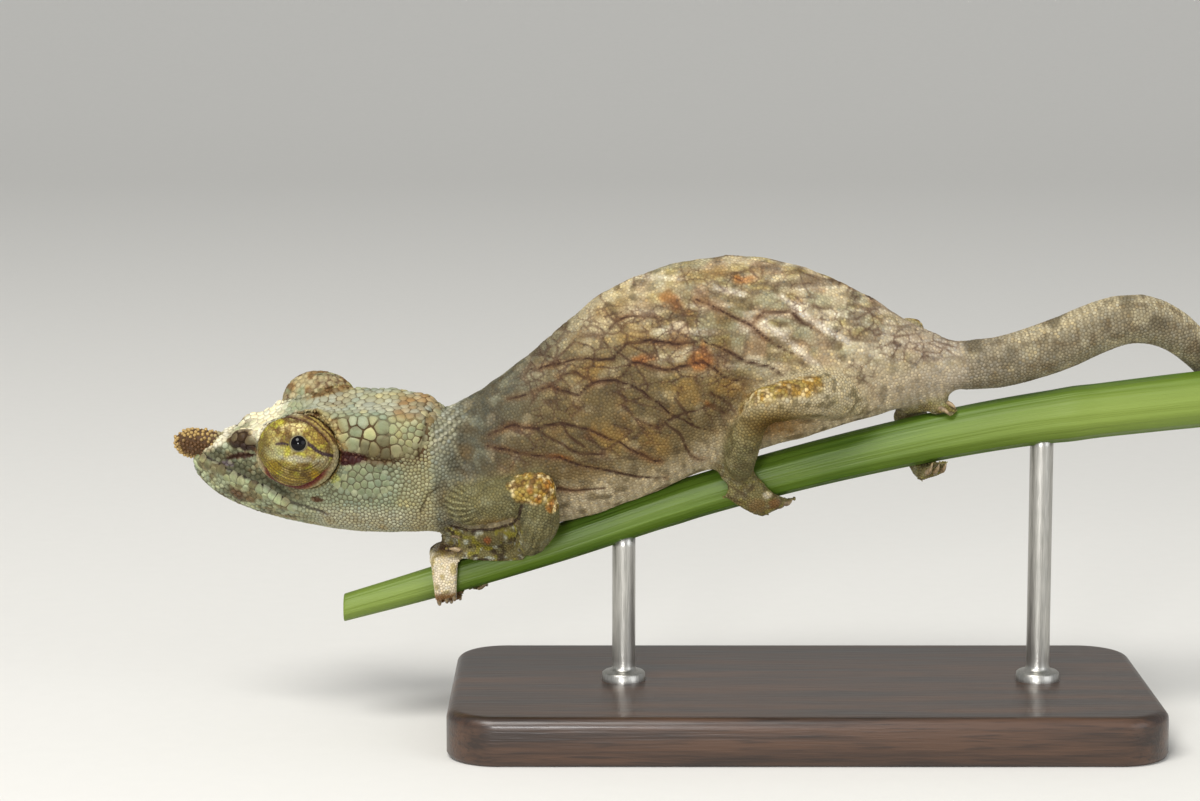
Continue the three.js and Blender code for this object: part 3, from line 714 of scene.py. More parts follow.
TURRET_PATCHES = [
    ((0.37, 0.78), (0.14, 0.1), (184, 174, 52), 0.8),
    ((0.0, 0.64), (0.36, 0.13), (224, 210, 150), 0.85),
    ((-0.5, 0.42), (0.36, 0.3), (150, 128, 48), 0.5),
    ((0.82, 0.1), (0.22, 0.5), (92, 78, 34), 0.75),
    ((0.84, 0.42), (0.07, 0.09), (168, 164, 60), 0.6),
    ((0.46, -0.02), (0.3, 0.2), (150, 150, 118), 0.65),
    ((-0.08, -0.17), (0.42, 0.13), (170, 168, 150), 0.75),
    ((0.195, -0.06), (0.07, 0.07), (176, 178, 70), 0.8),
    ((-0.234, -0.085), (0.07, 0.07), (176, 178, 70), 0.7),
    ((0.52, -0.42), (0.2, 0.2), (158, 136, 22), 0.8),
    ((-0.46, -0.6), (0.17, 0.14), (168, 132, 22), 0.85),
    ((-0.64, -0.28), (0.25, 0.24), (160, 154, 128), 0.65),
    ((-0.72, 0.48), (0.18, 0.28), (112, 76, 30), 0.65),
    ((0.1, -0.74), (0.4, 0.14), (160, 136, 60), 0.6),
]
# Spots of the head as [forward, up], size, colour and strength, then its lines with their widths.
HEAD_SPOTS = [
    # The second spot is painted shade along the underside of the nostril mound
    ((13.05, 0.05), (1.25, 0.6), (54, 36, 16), 0.98), ((12.9, -0.34), (1.0, 0.24), (38, 20, 10), 0.95),
    ((7.66, -3.5), (0.5, 0.2), (70, 42, 20), 0.95), ((13.75, -4.05), (0.5, 0.45), (84, 60, 36), 0.85),
    ((12.8, -4.35), (0.4, 0.3), (96, 70, 40), 0.7), ((6.34, -1.85), (0.4, 0.35), (150, 152, 78), 0.8),
    ((14.2, -1.75), (0.5, 0.18), (96, 84, 96), 0.7), ((9.8, 2.35), (0.45, 0.2), (100, 68, 38), 0.5)]
HEAD_LINES = [
    ([[7.2, 0.3], [6.5, -0.05], [5.7, -0.34], [5.0, -0.46], [4.3, -0.42]], 0.5, "blood", 1.0),
    ([[4.3, -0.45], [3.4, -0.62], [2.2, -0.62]], 0.12, (90, 66, 40), 0.6),
    ([[14.2, -1.42], [13.1, -0.98], [12.0, -0.85]], 0.2, (54, 30, 16), 1.0),
    ([[12.2, -0.2], [11.7, -0.9]], 0.12, (104, 66, 30), 0.7),
    ([[3.12, 2.1], [2.69, 1.43], [2.9, 0.9], [3.31, 0.35]], 0.12, (78, 58, 36), 0.5),
    ([[5.7, 1.85], [4.78, 1.62], [3.85, 1.8]], 0.09, (72, 56, 36), 0.5),
    ([[5.3, 0.5], [4.4, 0.55], [3.6, 0.4]], 0.07, (66, 52, 34), 0.45)]
# Creases of head and neck as [forward, up], with their depth and width in millimetres.
CREASES = [([[0.2, 2.3], [0.17, 2.0], [0.23, 1.56], [0.32, 1.0], [0.5, 0.2], [0.75, -0.5]], 0.17, 0.12),
           ([[2.74, -2.34], [3.44, -2.83], [4.15, -3.34]], 0.06, 0.08),
           ([[2.12, -0.6], [2.56, -1.51], [3.01, -2.4]], 0.05, 0.07),
           ([[1.4, -1.2], [1.7, -2.2], [2.1, -3.2]], 0.05, 0.08),
           ([[-0.57, -2.46], [0.12, -2.95], [0.74, -4.19]], 0.1, 0.1)]
# Where the upper arm presses on the forearm: [x, height].
ARM_CREASE = [[-9.9, -8.2], [-8.7, -8.5], [-7.0, -8.4], [-5.8, -7.95], [-5.35, -7.2], [-5.1, -6.1]]
NEAR_ARM = -0.6  # the left arm lies where Y is below this
ROW = 0.5  # width of a row of granules on neck, arms and tail
# Ridge and lower edge of the trunk, the same edge with fewer points, and the tail's middle: [x, height].
TRUNK_TOP = [[-9, 0.25], [-4, 3.95], [0, 7.3], [4, 9.1], [8, 9.8], [12, 9.55], [16, 8.1], [20, 5.85], [24, 4]]
TRUNK_LOW = [[-9, -9], [-4, -8.7], [0, -7.75], [4, -6.2], [8, -4.35], [12, -2.95], [16, -1.8], [20, -0.6],
             [24, 0.75]]
BELLY = TRUNK_LOW[::2]
TAIL_MIDDLE = [[24, 2.37], [26.7, 2.6], [30.7, 3.85], [33.3, 5], [35.4, 5.5], [37.4, 5.1], [39.1, 4],
               [40.4, 2.75]]
# Spots of hands and feet: x, height, size and colour.
FOOT_SPOTS = [(-7.5, -9.1, 0.25, (142, 74, 40)), (10.5, -6.7, 0.6, (112, 88, 50)),
              (11.6, -6.6, 0.45, (112, 78, 42)), (11.1, -6.0, 0.3, (196, 184, 160))]


def wavering(p):
    """Places of a flank seen from the side, shifted a little at random, so that lines waver."""
    return p[:, [0, 2]] + 0.16 * np.column_stack([clouds(p, 0.9, 3), clouds(p, 0.9, 4)])


def flank_lines(p):
    """How much each place of a flank lies in a branching furrow, from 0 to 1."""
    side = wavering(p)
    main = np.zeros(len(p))
    thick = clouds(p, 0.8, 8)
    for k, line in enumerate(FURROWS):
        far, where = reach(line, side)
        width = 0.112 * (0.45 + 0.55 * np.sin(np.pi * np.clip(where, 0.03, 0.97))) * (0.8 + 0.3 * thick)
        main = np.maximum(main, bell(far, width) * (1.0 if k < 7 else 0.75))
    return np.maximum(main, net_lines(p, side))


def net_lines(p, side):
    """The fine net of lines between the furrows, in cells drawn out along the body."""
    far_side = np.sign(p[:, 1]) * 9
    big = np.column_stack([side[:, 0] * 0.55 + side[:, 1] * 0.25, side[:, 1] - side[:, 0] * 0.1, far_side])
    small = np.column_stack([side[:, 0] * 0.7 - side[:, 1] * 0.1, side[:, 1] + side[:, 0] * 0.15, far_side])
    coarse = step(0.085, 0.025, cracks(big, 1.35, 5)) * blots(p, 2.6, 6, -0.35, 0.15)
    fine = step(0.13, 0.04, cracks(small, 0.66, 15)) * blots(p, 1.9, 7, -0.3, 0.3)
    upper = step(-5.0, -2.0, p[:, 2] - p[:, 0] * 0.25) * step(-8.0, -5.0, p[:, 0])
    rear = step(13, 7, p[:, 0] + 0.5 * p[:, 2])
    return np.maximum(coarse * (0.2 + 0.3 * rear), fine * 0.42) * upper


def nape(p):
    """How much each place is part of the nape, from 0 to 1."""
    return step(-4.2, -1.6, p[:, 2] - 0.4 * (p[:, 0] + 10))


def neck_rows(p):
    """Slanting rows of raised granules on neck and nape, from -1 in the grooves to 1 on the ridges."""
    rows = waves(p[:, 2] * 0.8 - p[:, 0] * 0.6, ROW, 2.2 * clouds(p, 1.1, 22))
    return rows * blots(p, 0.9, 23, -0.7, 0.2) * step(-7.5, -9.5, p[:, 0])


def arm_rows(p):
    """Curved ribs that fan out over the upper arm, and upright ones on the forearm, from -1 to 1."""
    x, z = p[:, 0] + 7.3, p[:, 2] + 5.6
    out = np.hypot(x, z)
    fan = np.sin(34 * (np.arctan2(z, x) + 0.22 * out) + 1.6 * clouds(p, 1.0, 45)) * step(0.9, 1.7, out)
    upright = waves(p[:, 0] * 0.95 - 0.3 * p[:, 2], ROW, 2.4 * clouds(p, 1.0, 45)) * 0.5
    fore = step(-5.8, -5.2, p[:, 0] + 0.15 * (p[:, 2] + 7))
    return (fan * (1 - fore) + upright * fore) * blots(p, 0.8, 24, -0.8, 0.1)


def furrow_reach(p):
    """Distance in millimetres to the nearest furrow of a flank."""
    side = wavering(p)
    return np.min([reach(line, side)[0] for line in FURROWS], axis=0)


def turret_local(q):
    up = q[:, 2] - RIGHT_LIFT * (q[:, 1] < 0)
    return (np.column_stack([q[:, 0], np.abs(q[:, 1]), up]) - EYE) / TURRET


def turret_place(q):
    """Angle from the gaze on a turret, the turn round it from straight ahead, and the reach."""
    local = turret_local(q)
    gaze, ahead, over = turret_axes(GAZE / TURRET)
    direction = unit(local)
    return (np.arccos(np.clip(direction @ gaze, -1, 1)),
            np.arctan2(direction @ over, direction @ ahead), np.linalg.norm(local, axis=1))


def turret_axes(middle):
    middle = unit(middle)
    ahead = np.array([1.0, 0, 0])
    ahead = unit(ahead - middle * (ahead @ middle))
    return middle, ahead, np.cross(middle, ahead) * -1


def turret_disc(direction):
    """Where a direction lies on a turret's face: ahead, over, and its share of the way to the fold."""
    middle, ahead, over = turret_axes(FACE)
    x, y, z = direction @ ahead, direction @ over, direction @ middle
    r = np.hypot(x, y)
    r = np.where(z > 0, r, 2 - r)
    rim_x, rim_y = np.array(TURRET_RIM).T
    bearing = np.arctan2(rim_y, rim_x)
    order = np.argsort(bearing)
    fold = np.interp(np.arctan2(y, x), bearing[order], np.hypot(rim_x, rim_y)[order], period=2 * np.pi)
    return x, y, r / fold


def turret_arcs(ahead, over, wobble):
    """How much each place lies in one of the fine arcs under the eye, from 0 to 1."""
    far = np.hypot(ahead + 0.06, over - 0.186) + wobble
    arcs = np.max([bell(far - at, 0.024) * how for at, how in TURRET_ARCS], axis=0)
    return arcs * step(-0.12, -0.32, over)


class Paint:
    """Colours of places on the animal, mixed from the settings' named colours."""

    def __init__(self, points, shares):
        c = settings().colours
        self.c = {key: shown(getattr(c, key)) for key in ColourSettings.__annotations__}
        self.p = points
        self.q = to_head(points)
        self.shares = shares

    def ground(self, name):
        """One colour all over."""
        tone = self.c[name] if isinstance(name, str) else np.array(name) / 255
        return np.repeat(tone[None], len(self.p), 0)

    def layers(self, base, *layers):
        """Lays colours over a base in turn, each told as [colour, how much of it]."""
        for name, amount in layers:
            tone = self.c[name] if isinstance(name, str) else np.asarray(name, float) / 255
            base = mixed(base, tone, np.clip(amount, 0, 1)[:, None])
        return base

    def trunk(self):
        p = self.p
        x, z = p[:, 0], p[:, 2]
        low, top = along(TRUNK_LOW, x), along(TRUNK_TOP, x)
        high = (z - low) / (top - low) + 0.06 * clouds(p, 1.8, 11)
        cloudy = clouds(p, 1.5, 12)
        front = step(-5.0, -7.5, x - 0.4 * z)
        slanted = np.column_stack([x + 0.5 * z, p[:, 1], (z - 0.5 * x) * 0.55])
        rear = step(3, 9, x + z * 0.6) * step(0.35, 0.6, high)
        ragged = 0.5 * clouds(p, 0.45, 14)
        near = furrow_reach(p) + 0.08 * ragged
        base = self.layers(
            self.ground("flank"),
            ("back", np.maximum(step(0.62, 1.05, high), step(0.9, 1.0, high)) * 0.9),
            ("belly", step(0.3, 0.06, high)),
            ("belly", step(8, 15, x) * 0.75),
            ((66, 64, 51), step(-2.5, -7.0, x - 0.5 * z) * 0.85),
            ((104, 78, 40), step(0.1, 0.7, cloudy) * 0.5 * step(0.12, 0.3, high)),
            ((158, 146, 118), blots(p, 0.8, 13, 0.1, 0.6) * 0.42),
            ((70, 58, 36), blots(p, 0.55, 15, 0.1, 0.6) * 0.55),
            ((138, 140, 120), front * blots(slanted, 0.5, 90, 0.0, 0.5) * 0.5),
            ((58, 60, 52), front * blots(slanted, 0.45, 93, 0.1, 0.5) * 0.4),
            ((140, 138, 112), rear * blots(p, 1.0, 17, -0.1, 0.4) * 0.6),
            ((146, 128, 70), rear * blots(p * [0.7, 1, 1], 0.8, 18, 0.1, 0.5) * 0.45),
            ((150, 120, 92), rear * blots(p, 1.3, 88, 0.0, 0.5) * 0.5),
            ((206, 196, 172), rear * blots(p * [0.6, 1, 1.8], 1.0, 19, 0.15, 0.5) * 0.6),
            ((92, 76, 56), rear * blots(p * [0.7, 1, 1.8], 0.9, 20, 0.15, 0.5) * 0.6),
            ((148, 138, 122), step(15, 23, x) * 0.7),
            ((104, 64, 34), step(0.4, 0.1, near) * blots(p, 1.7, 89, -0.3, 0.5) * 0.35))
        for spots, tone, most in ((OCHRE, (132, 100, 42), 0.45), (SMUDGES, "rust", 0.6)):
            for at_x, at_z, long, deep, turn in spots:
                t = math.radians(turn)
                dx, dz = x - at_x, z - at_z
                u, v = dx * math.cos(t) + dz * math.sin(t), dz * math.cos(t) - dx * math.sin(t)
                base = self.layers(base, (tone, step(1.3, 0.3, np.hypot(u / long, v / deep) + ragged) * most))
        pleat_shade = waves(x + 0.25 * z, 0.62, 1.2 * clouds(p, 1.6, 16))
        pale = np.min([reach(line, p[:, [0, 2]])[0] for line in STREAKS], axis=0) + 0.15 * ragged
        lines = flank_lines(p) * step(0.02, 0.14, high)
        return self.layers(
            base,
            ((112, 76, 30), bell(oval(x, z, (11.4, -1.2), (2.2, 1.0)), 1) * 0.75),
            # Painted shade: darker stripes across the lower flanks stand for the shade in the folds of pleats
            ((110, 98, 74), step(0.2, 1, pleat_shade) * step(0.26, 0.12, high) * 0.4),
            ((214, 206, 190), step(0.35, 0.05, pale) * 0.6),
            ("vein", lines * (0.95 + 0.15 * cloudy)))

    def neck(self):
        p = self.p
        x, z = p[:, 0], p[:, 2]
        over = nape(p)
        rows = neck_rows(p)
        near = step(0.12, 0.04, reach(CREASES[-1][0], self.q[:, [0, 2]])[0])
        base = self.layers(
            self.ground("neck"),
            ((152, 150, 130), over * 0.7),
            ((112, 114, 92), blots(p, 1.2, 21, 0.0, 0.6) * 0.5),
            ((92, 88, 66), step(-0.1, -0.9, rows) * 0.5),
            ((206, 203, 184), step(0.3, 1.0, rows) * 0.5 * over),
            ((104, 100, 74), step(-4.5, -6.5, z) * 0.5),
            # Painted shade: a dark line along the crease of the neck
            ((58, 50, 32), near * 0.8))
        return mixed(base, self.trunk(), step(-10.3, -8.0, x - 0.25 * z)[:, None])

    def tail(self):
        p = self.p
        x = p[:, 0]
        over = (p[:, 2] - along(TAIL_MIDDLE, x)) / 1.6
        banded = clouds(p, 1.3, 31) + 0.4 * clouds(p, 0.6, 32) + 0.25 * np.sin(x * 1.9)
        rows = waves(x + 0.2 * over, ROW, 0.8 * clouds(p, 2.0, 34))
        return self.layers(
            self.ground("tail"),
            ("back", step(0.2, 1.0, over) * 0.6),
            ((128, 119, 102), step(30, 23.5, x) * 0.85),
            ((134, 128, 104), step(-0.1, -0.8, over) * 0.6 * step(28, 34, x)),
            ((78, 70, 52), step(0.1, 0.6, banded) * step(-0.6, 0.1, over) * 0.65),
            ((90, 80, 58), step(0.2, 1.0, rows) * 0.4),
            ((166, 156, 126), blots(p, 0.8, 35, 0.2, 0.7) * 0.5),
            ((84, 70, 48), blots(p, 0.5, 33, 0.2, 0.6) * 0.45))

    def arm(self):
        p = self.p
        x, z = p[:, 0], p[:, 2]
        rows = arm_rows(p)
        base = self.layers(
            self.ground("arm"),
            ((70, 66, 44), step(-0.1, -0.9, rows) * 0.5),
            ((154, 151, 112), step(0.1, 0.9, rows) * 0.55),
            ((128, 126, 98), blots(p, 0.6, 41, 0, 0.6) * 0.4),
            ((166, 124, 66), bell(z + 7.6, 0.45) * step(-9.0, -6.5, x) * step(-5.0, -6.0, x) * 0.6),
            ((58, 54, 34), blots(p, 0.4, 46, 0.2, 0.7) * 0.4))
        elbow = np.linalg.norm((p - [-4.3, -6.0, -4.9]) / [1.7, 1.7, 1.1], axis=1) + 0.3 * clouds(p, 0.6, 42)
        elbow = np.minimum(elbow, oval(x, z, (-3.1, -6.0), (0.6, 0.8)) + 0.2)
        return self.bright(base, step(1.15, 0.8, elbow))

    def bright(self, base, where):
        """Cream, yellow and orange tubercles, with dark red between them."""
        p = self.p
        tone = self.layers(
            self.ground("joint"),
            ((146, 106, 30), blots(p, 0.36, 47, -0.1, 0.4) * 0.85),
            ((206, 188, 144), blots(p, 0.3, 59, 0.05, 0.35) * 0.85),
            ((148, 86, 30), step(0.05, 0.5, clouds(p, 0.5, 48) - 0.15 * (p[:, 2] + 5)) * 0.6),
            ((84, 58, 22), blots(p, 0.28, 49, 0.0, 0.4) * 0.8))
        return mixed(base, tone, where[:, None])

    def shade_arm_crease(self, base):
        # Painted shade: a near-black line along the crease where the upper arm presses on the forearm, on the
        # near arm only
        near, _ = reach(ARM_CREASE, self.p[:, [0, 2]])
        return self.layers(base, ((44, 28, 18), step(0.14, 0.06, near) * (self.p[:, 1] < NEAR_ARM) * 0.9))

    def leg(self):
        p = self.p
        x, z = p[:, 0], p[:, 2]
        fold = waves(z * 0.9 + 0.4 * x, 0.55, clouds(p, 1.2, 54))
        base = self.layers(
            self.ground("arm"),
            ("belly", step(-2.2, 0.2, z) * 0.85),
            ((146, 136, 100), blots(p, 0.7, 43, 0, 0.6) * 0.5),
            ((68, 58, 32), blots(p, 0.45, 53, 0.1, 0.6) * 0.5),
            # Painted shade: darker bands low on the leg stand for the shade in its folds
            ((84, 74, 50), step(0.5, 1.0, fold) * step(-1, -2, z) * 0.4),
            ((74, 52, 6), bell(oval(x, z, (11.3, -0.8), (2.1, 1.1)), 1) * 0.95))
        shin, _ = reach([[9.5, -4.6, 0.5], [10.7, -5.9, 1.3], [12.3, -5.65, 1.68], [14, -5, 1.92]], p)
        base = self.bright(base, step(0.95, 0.5, shin + 0.2 * clouds(p, 0.5, 44)) * 0.85)
        far_knee = np.linalg.norm(p - [21.3, 4.2, 5.0], axis=1)
        return self.bright(base, step(1.2, 0.6, far_knee) * 0.85)

    def foot(self):
        p = self.p
        x, z = p[:, 0], p[:, 2]
        hand = step(-3, -4, x) * 0.5
        fold = waves(x * 0.45 + z, 0.6, 1.5 * clouds(p, 0.9, 60))
        base = self.layers(
            self.ground("foot"),
            ((98, 84, 50), blots(p, 0.5, 51, -0.1, 0.5) * 0.6),
            ((170, 172, 156), blots(p, 0.33, 55, 0.05, 0.5) * (0.3 + 1.2 * hand)),
            ((132, 124, 42), blots(p, 0.3, 56, 0.1, 0.5) * (0.4 + hand)),
            ((50, 38, 22), blots(p, 0.28, 52, 0.15, 0.55) * (0.35 + hand)),
            # Painted shade: dark lines across the ankle stand for the shade in its wrinkles
            ((70, 54, 30), step(0.5, 1.0, fold) * step(7.4, 7.8, x) * step(10.4, 9.4, x) * 0.6))
        toes = step(-9.0, -9.6, x) * step(-10.0, -10.5, z)
        pale = self.layers(self.ground((206, 194, 172)), ((150, 132, 70), blots(p, 0.35, 57, 0.1, 0.5) * 0.6))
        base = self.layers(
            base + (pale - base) * toes[:, None] * 0.9,
            ((74, 50, 34), bell(oval(x, z, (-10.3, -9.95), (0.85, 0.3)), 1) * 0.8),
            ((112, 74, 36), step(-12.5, -13.0, z) * step(-9, -9.6, x) * 0.8))
        for at_x, at_z, size, tone in FOOT_SPOTS:
            spot = np.hypot(x - at_x, z - at_z) / size + 0.3 * clouds(p, 0.25, 58)
            base = self.layers(base, (tone, step(1.2, 0.6, spot) * (p[:, 1] < 0) * 0.8))
        return base

    def turret(self):
        q = self.q
        ahead, over, past = turret_disc(unit(turret_local(q)))
        angle, _, _ = turret_place(q)
        ragged = 0.35 * clouds(q, 0.3, 63)
        base = self.layers(
            self.ground("turret"),
            ((166, 160, 116), blots(q, 0.5, 61, -0.1, 0.4) * 0.75 * step(0.9, 0.2, ahead)),
            ((106, 88, 22), step(-0.2, -0.5, over) * 0.8),
            ((84, 62, 24), blots(q, 0.4, 62, 0.0, 0.35) * 0.75),
            ((164, 162, 50), blots(q, 0.35, 69, 0.15, 0.5) * 0.7),
            ((190, 176, 120), blots(q, 0.3, 70, 0.1, 0.5) * step(-0.2, -0.5, over) * 0.6),
            *((tone, step(1.25, 0.45, oval(ahead, over, at, size) + ragged) * how)
              for at, size, tone, how in TURRET_PATCHES))
        face = np.column_stack([ahead, over])
        net = step(0.2, 0.05, cracks(q, 0.4, 65)) * step(-0.2, 0.3, over - 0.5 * ahead)
        rear = step(0.1, -0.3, ahead)
        outside = step(0.99, 1.03, past)
        low = step(-0.45, -0.75, over)
        top = rear * step(0.0, 0.4, over)
        bands = np.maximum(bell(past - 1.1, 0.025), bell(past - 1.2, 0.03)) + 0.5 * clouds(q, 0.5, 68)
        dark = 0.85 * np.maximum(step(0.1, 0.45, over), low) + 0.2
        base = self.layers(
            base,
            ((88, 60, 26), net * 0.55),
            ((64, 46, 20), turret_arcs(ahead, over, 0.02 * clouds(q, 0.8, 64)) * 0.85),
            *(((48, 32, 38), step(width * 1.5, width * 0.7, reach(line, face)[0] + 0.01 * ragged) * 0.9)
              for line, width in TURRET_STRIPES),
            ((150, 140, 108), step(0.245, 0.232, angle) * 0.8),
            ((156, 146, 112), outside * 0.9),
            ((112, 62, 30), outside * low * step(1.1, 1.03, past) * 0.85),
            ((160, 138, 66), outside * top * 0.8),
            ((70, 42, 20), outside * top * step(0.1, 0.6, bands) * 0.85),
            ((188, 182, 156), step(1.04, 1.12, past) * step(-0.2, 0.3, over) * (1 - rear) * 0.8),
            ((62, 34, 20), bell(past - 1.0, 0.035) * np.clip(dark, 0, 0.9)),
            ((84, 20, 12), bell(past - 1.005, 0.03) * step(-0.35, -0.6, over) * 0.9))
        return mixed(base, self.far_turret(ahead, over), (q[:, 1] < 0)[:, None])

    def far_turret(self, ahead, over):
        q = self.q
        net = step(0.2, 0.05, cracks(q, 0.7, 72)) * blots(q, 0.9, 78, -0.4, 0.2)
        return self.layers(
            self.ground((158, 146, 110)),
            ((134, 144, 110), blots(q, 0.6, 66, -0.1, 0.4) * 0.7),
            ((122, 90, 52), blots(q, 0.7, 67, 0.0, 0.4) * 0.8),
            ((80, 54, 34), net * 0.7),
            ((168, 176, 56), bell(np.hypot(ahead + 0.75, over - 0.4), 0.16) * 0.8))

    def head(self):
        q = self.q
        f, side, u = q[:, 0], np.abs(q[:, 1]), q[:, 2]
        flat = np.column_stack([f, u])
        tip = step(2.9, 1.9, f) * step(1.95, 2.2, u + 0.25 * clouds(q, 0.5, 76))
        lip, _ = reach(MOUTH, flat)
        under = straight(MOUTH, f) - u
        snout = step(8.5, 10.5, f)
        low = step(8, 10, f) * step(0.4, 0.0, u)
        bridge = along([[12.5, 0.0], [13.5, -0.15], [15.1, -1.1], [16.3, -1.7]], f)
        base = self.layers(
            self.ground("temple"),
            ("crown", step(1.5, 2.1, u) * step(2.2, 1.4, side)),
            ((134, 146, 122), blots(q, 1.1, 71, 0.1, 0.5) * step(6.5, 5, f) * 0.6),
            ((164, 154, 106), blots(q, 0.9, 75, 0.1, 0.6) * step(7, 5, f) * 0.6),
            ((70, 56, 30), bell(oval(f, u, (3.2, -0.2), (2.4, 0.8)), 1) * 0.9),
            ((120, 92, 58), blots(q, 0.8, 79, 0.1, 0.5) * step(4.0, 2.0, f) * step(0.2, 1.0, u) * 0.6),
            ((124, 96, 54), bell(oval(f, u, (6.7, 0.9), (0.9, 1.1)), 1) * blots(q, 0.6, 94, -0.5, 0.2)
             * 0.85),
            ("cheek", step(-0.5, -1.2, u) * step(-4.4, -3.2, u) * step(0.4, 3.6, f + clouds(q, 0.9, 84))
             * step(7.4, 6.0, f) * 0.8),
            ("throat", step(-3.4, -4.6, u) * step(9, 7, f)),
            ((130, 120, 84), step(2.4, 0.8, f) * step(1.9, 0.9, u) * 0.6),
            ("casque", tip * blots(q, 0.7, 80, -0.7, 0.3) * 0.8),
            ((178, 187, 148), bell(under - 0.42, 0.35) * snout * blots(q, 0.8, 82, -0.5, 0.2) * 0.8),
            ((60, 60, 40), bell(under + 0.6, 0.55) * snout * 0.85),
            ((92, 72, 42), blots(q, 0.5, 83, 0.0, 0.5) * low * 0.6),
            ((70, 66, 44), blots(q, 0.35, 95, 0.1, 0.4) * low * 0.6),
            ((176, 184, 146), blots(q, 0.45, 96, 0.15, 0.5) * low * step(0.1, 0.4, under) * 0.6),
            ((220, 212, 186), step(0.0, 0.45, u - bridge) * step(9.6, 11.2, f) * 0.95),
            ((126, 108, 70), step(-4.2, -5.6, u) * blots(q, 0.7, 73, 0, 0.5) * 0.6))
        base = self.head_marks(base, f, u, flat, step(0.8, 1.2, side))
        _, turn, far = turret_place(q)
        above = step(0.0, 0.6, np.sin(turn)) * step(0.0, -0.5, np.cos(turn))
        behind = step(1.42, 1.25, far) * step(-0.1, 0.4, np.sin(turn)) * step(0.3, -0.3, np.cos(turn))
        return self.layers(
            base,
            # Painted shade: a dark line along the groove of the mouth
            ((62, 50, 50), step(0.14, 0.06, lip) * (0.4 + 0.45 * step(9, 11, f)) * step(17, 16, f)),
            ((128, 92, 46), step(1.16, 1.05, far) * step(0.0, -0.6, np.sin(turn)) * 0.6),
            ((104, 76, 36), step(1.32, 1.1, far) * above * 0.7),
            ((132, 108, 62), step(1.12, 1.05, far) * 0.8),
            ((172, 156, 104), behind * 0.6),
            ((92, 62, 28), behind * blots(q, 0.4, 97, -0.1, 0.3) * 0.85))

    def head_marks(self, base, f, u, flat, outer):
        """Spots, lines and creases on the sides of the head; the bridge hides those of the far side. The
        creases are painted shade, darker where they are deeper.
        """
        ragged = 0.25 * clouds(self.q, 0.3, 74)
        outer = outer * (1 - step(0.1, 0.4, u) * (self.q[:, 1] < 0) * (f > 10))
        for at, size, tone, how in HEAD_SPOTS:
            base = self.layers(base, (tone, step(1.15, 0.7, oval(f, u, at, size) + ragged) * how * outer))
        for line, width, tone, how in HEAD_LINES:
            far, where = reach(line, flat)
            width = width * (0.35 + 0.65 * np.sin(np.pi * np.clip(where, 0.05, 0.95)))
            base = self.layers(base, (tone, step(1.25, 0.85, far / width + ragged) * how * outer))
        # Painted shade along the creases, darker the deeper they are cut
        for line, depth, width in CREASES:
            near = bell(reach(line, flat)[0], width)
            base = self.layers(base, ((74, 62, 40), near * min(1, depth * 6) * 0.8 * outer))
        return base

    def all(self):
        total = np.zeros((len(self.p), 3))
        weight = np.zeros(len(self.p))
        for region, amount in self.shares.items():
            total += getattr(self, region)() * amount[:, None]
            weight += amount
        total = total / np.maximum(weight, 1e-6)[:, None]
        p = self.p
        x, z = p[:, 0], p[:, 2]
        below = step(0.05, -0.1, z - straight(ARM_CREASE[:4], x))
        hand = step(-10.6, -10.1, x) * step(-4.9, -5.4, x) * below * (p[:, 1] < NEAR_ARM)
        return self.shade_arm_crease(mixed(total, self.foot(), hand[:, None]))


# ---- Skin ----


def flesh_mesh(swell):
    """The solids of flesh in millimetres, each swollen a little, and which node each face is of."""
    whole = bmesh.new()
    owner = []
    for index, name in enumerate(FLESH):
        part = bmesh.new()
        part.from_mesh(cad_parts[name].data)
        bmesh.ops.remove_doubles(part, verts=part.verts, dist=1e-6)
        part.normal_update()
        fresh = {}
        for v in part.verts:
            at = np.array(v.co) / MM - ORIGIN + np.array(v.normal) * swell * min(v.calc_shell_factor(), 1.7)
            fresh[v.index] = whole.verts.new(at)
        for face in part.faces:
            whole.faces.new([fresh[v.index] for v in face.verts])
            owner.append(index)
        part.free()
    mesh = bpy.data.meshes.new("flesh")
    whole.to_mesh(mesh)
    whole.free()
    return mesh, np.array(owner)


def region_shares(points, edges, rounds):
    """For each point, how much it is part of each region, softened across their borders."""
    bare, owner = flesh_mesh(0.0)
    tree = BVHTree.FromPolygons([v.co for v in bare.vertices], [tuple(p.vertices) for p in bare.polygons])
    bpy.data.meshes.remove(bare)
    regions = list(REGIONS)
    of_node = np.array([next(i for i, r in enumerate(regions) if n in REGIONS[r]) for n in FLESH])
    nearest = np.array([tree.find_nearest(p)[2] for p in points.tolist()])
    table = relaxed(np.eye(len(regions))[of_node[owner[nearest]]], edges, 0.5, rounds)
    return {r: table[:, i] for i, r in enumerate(regions)}


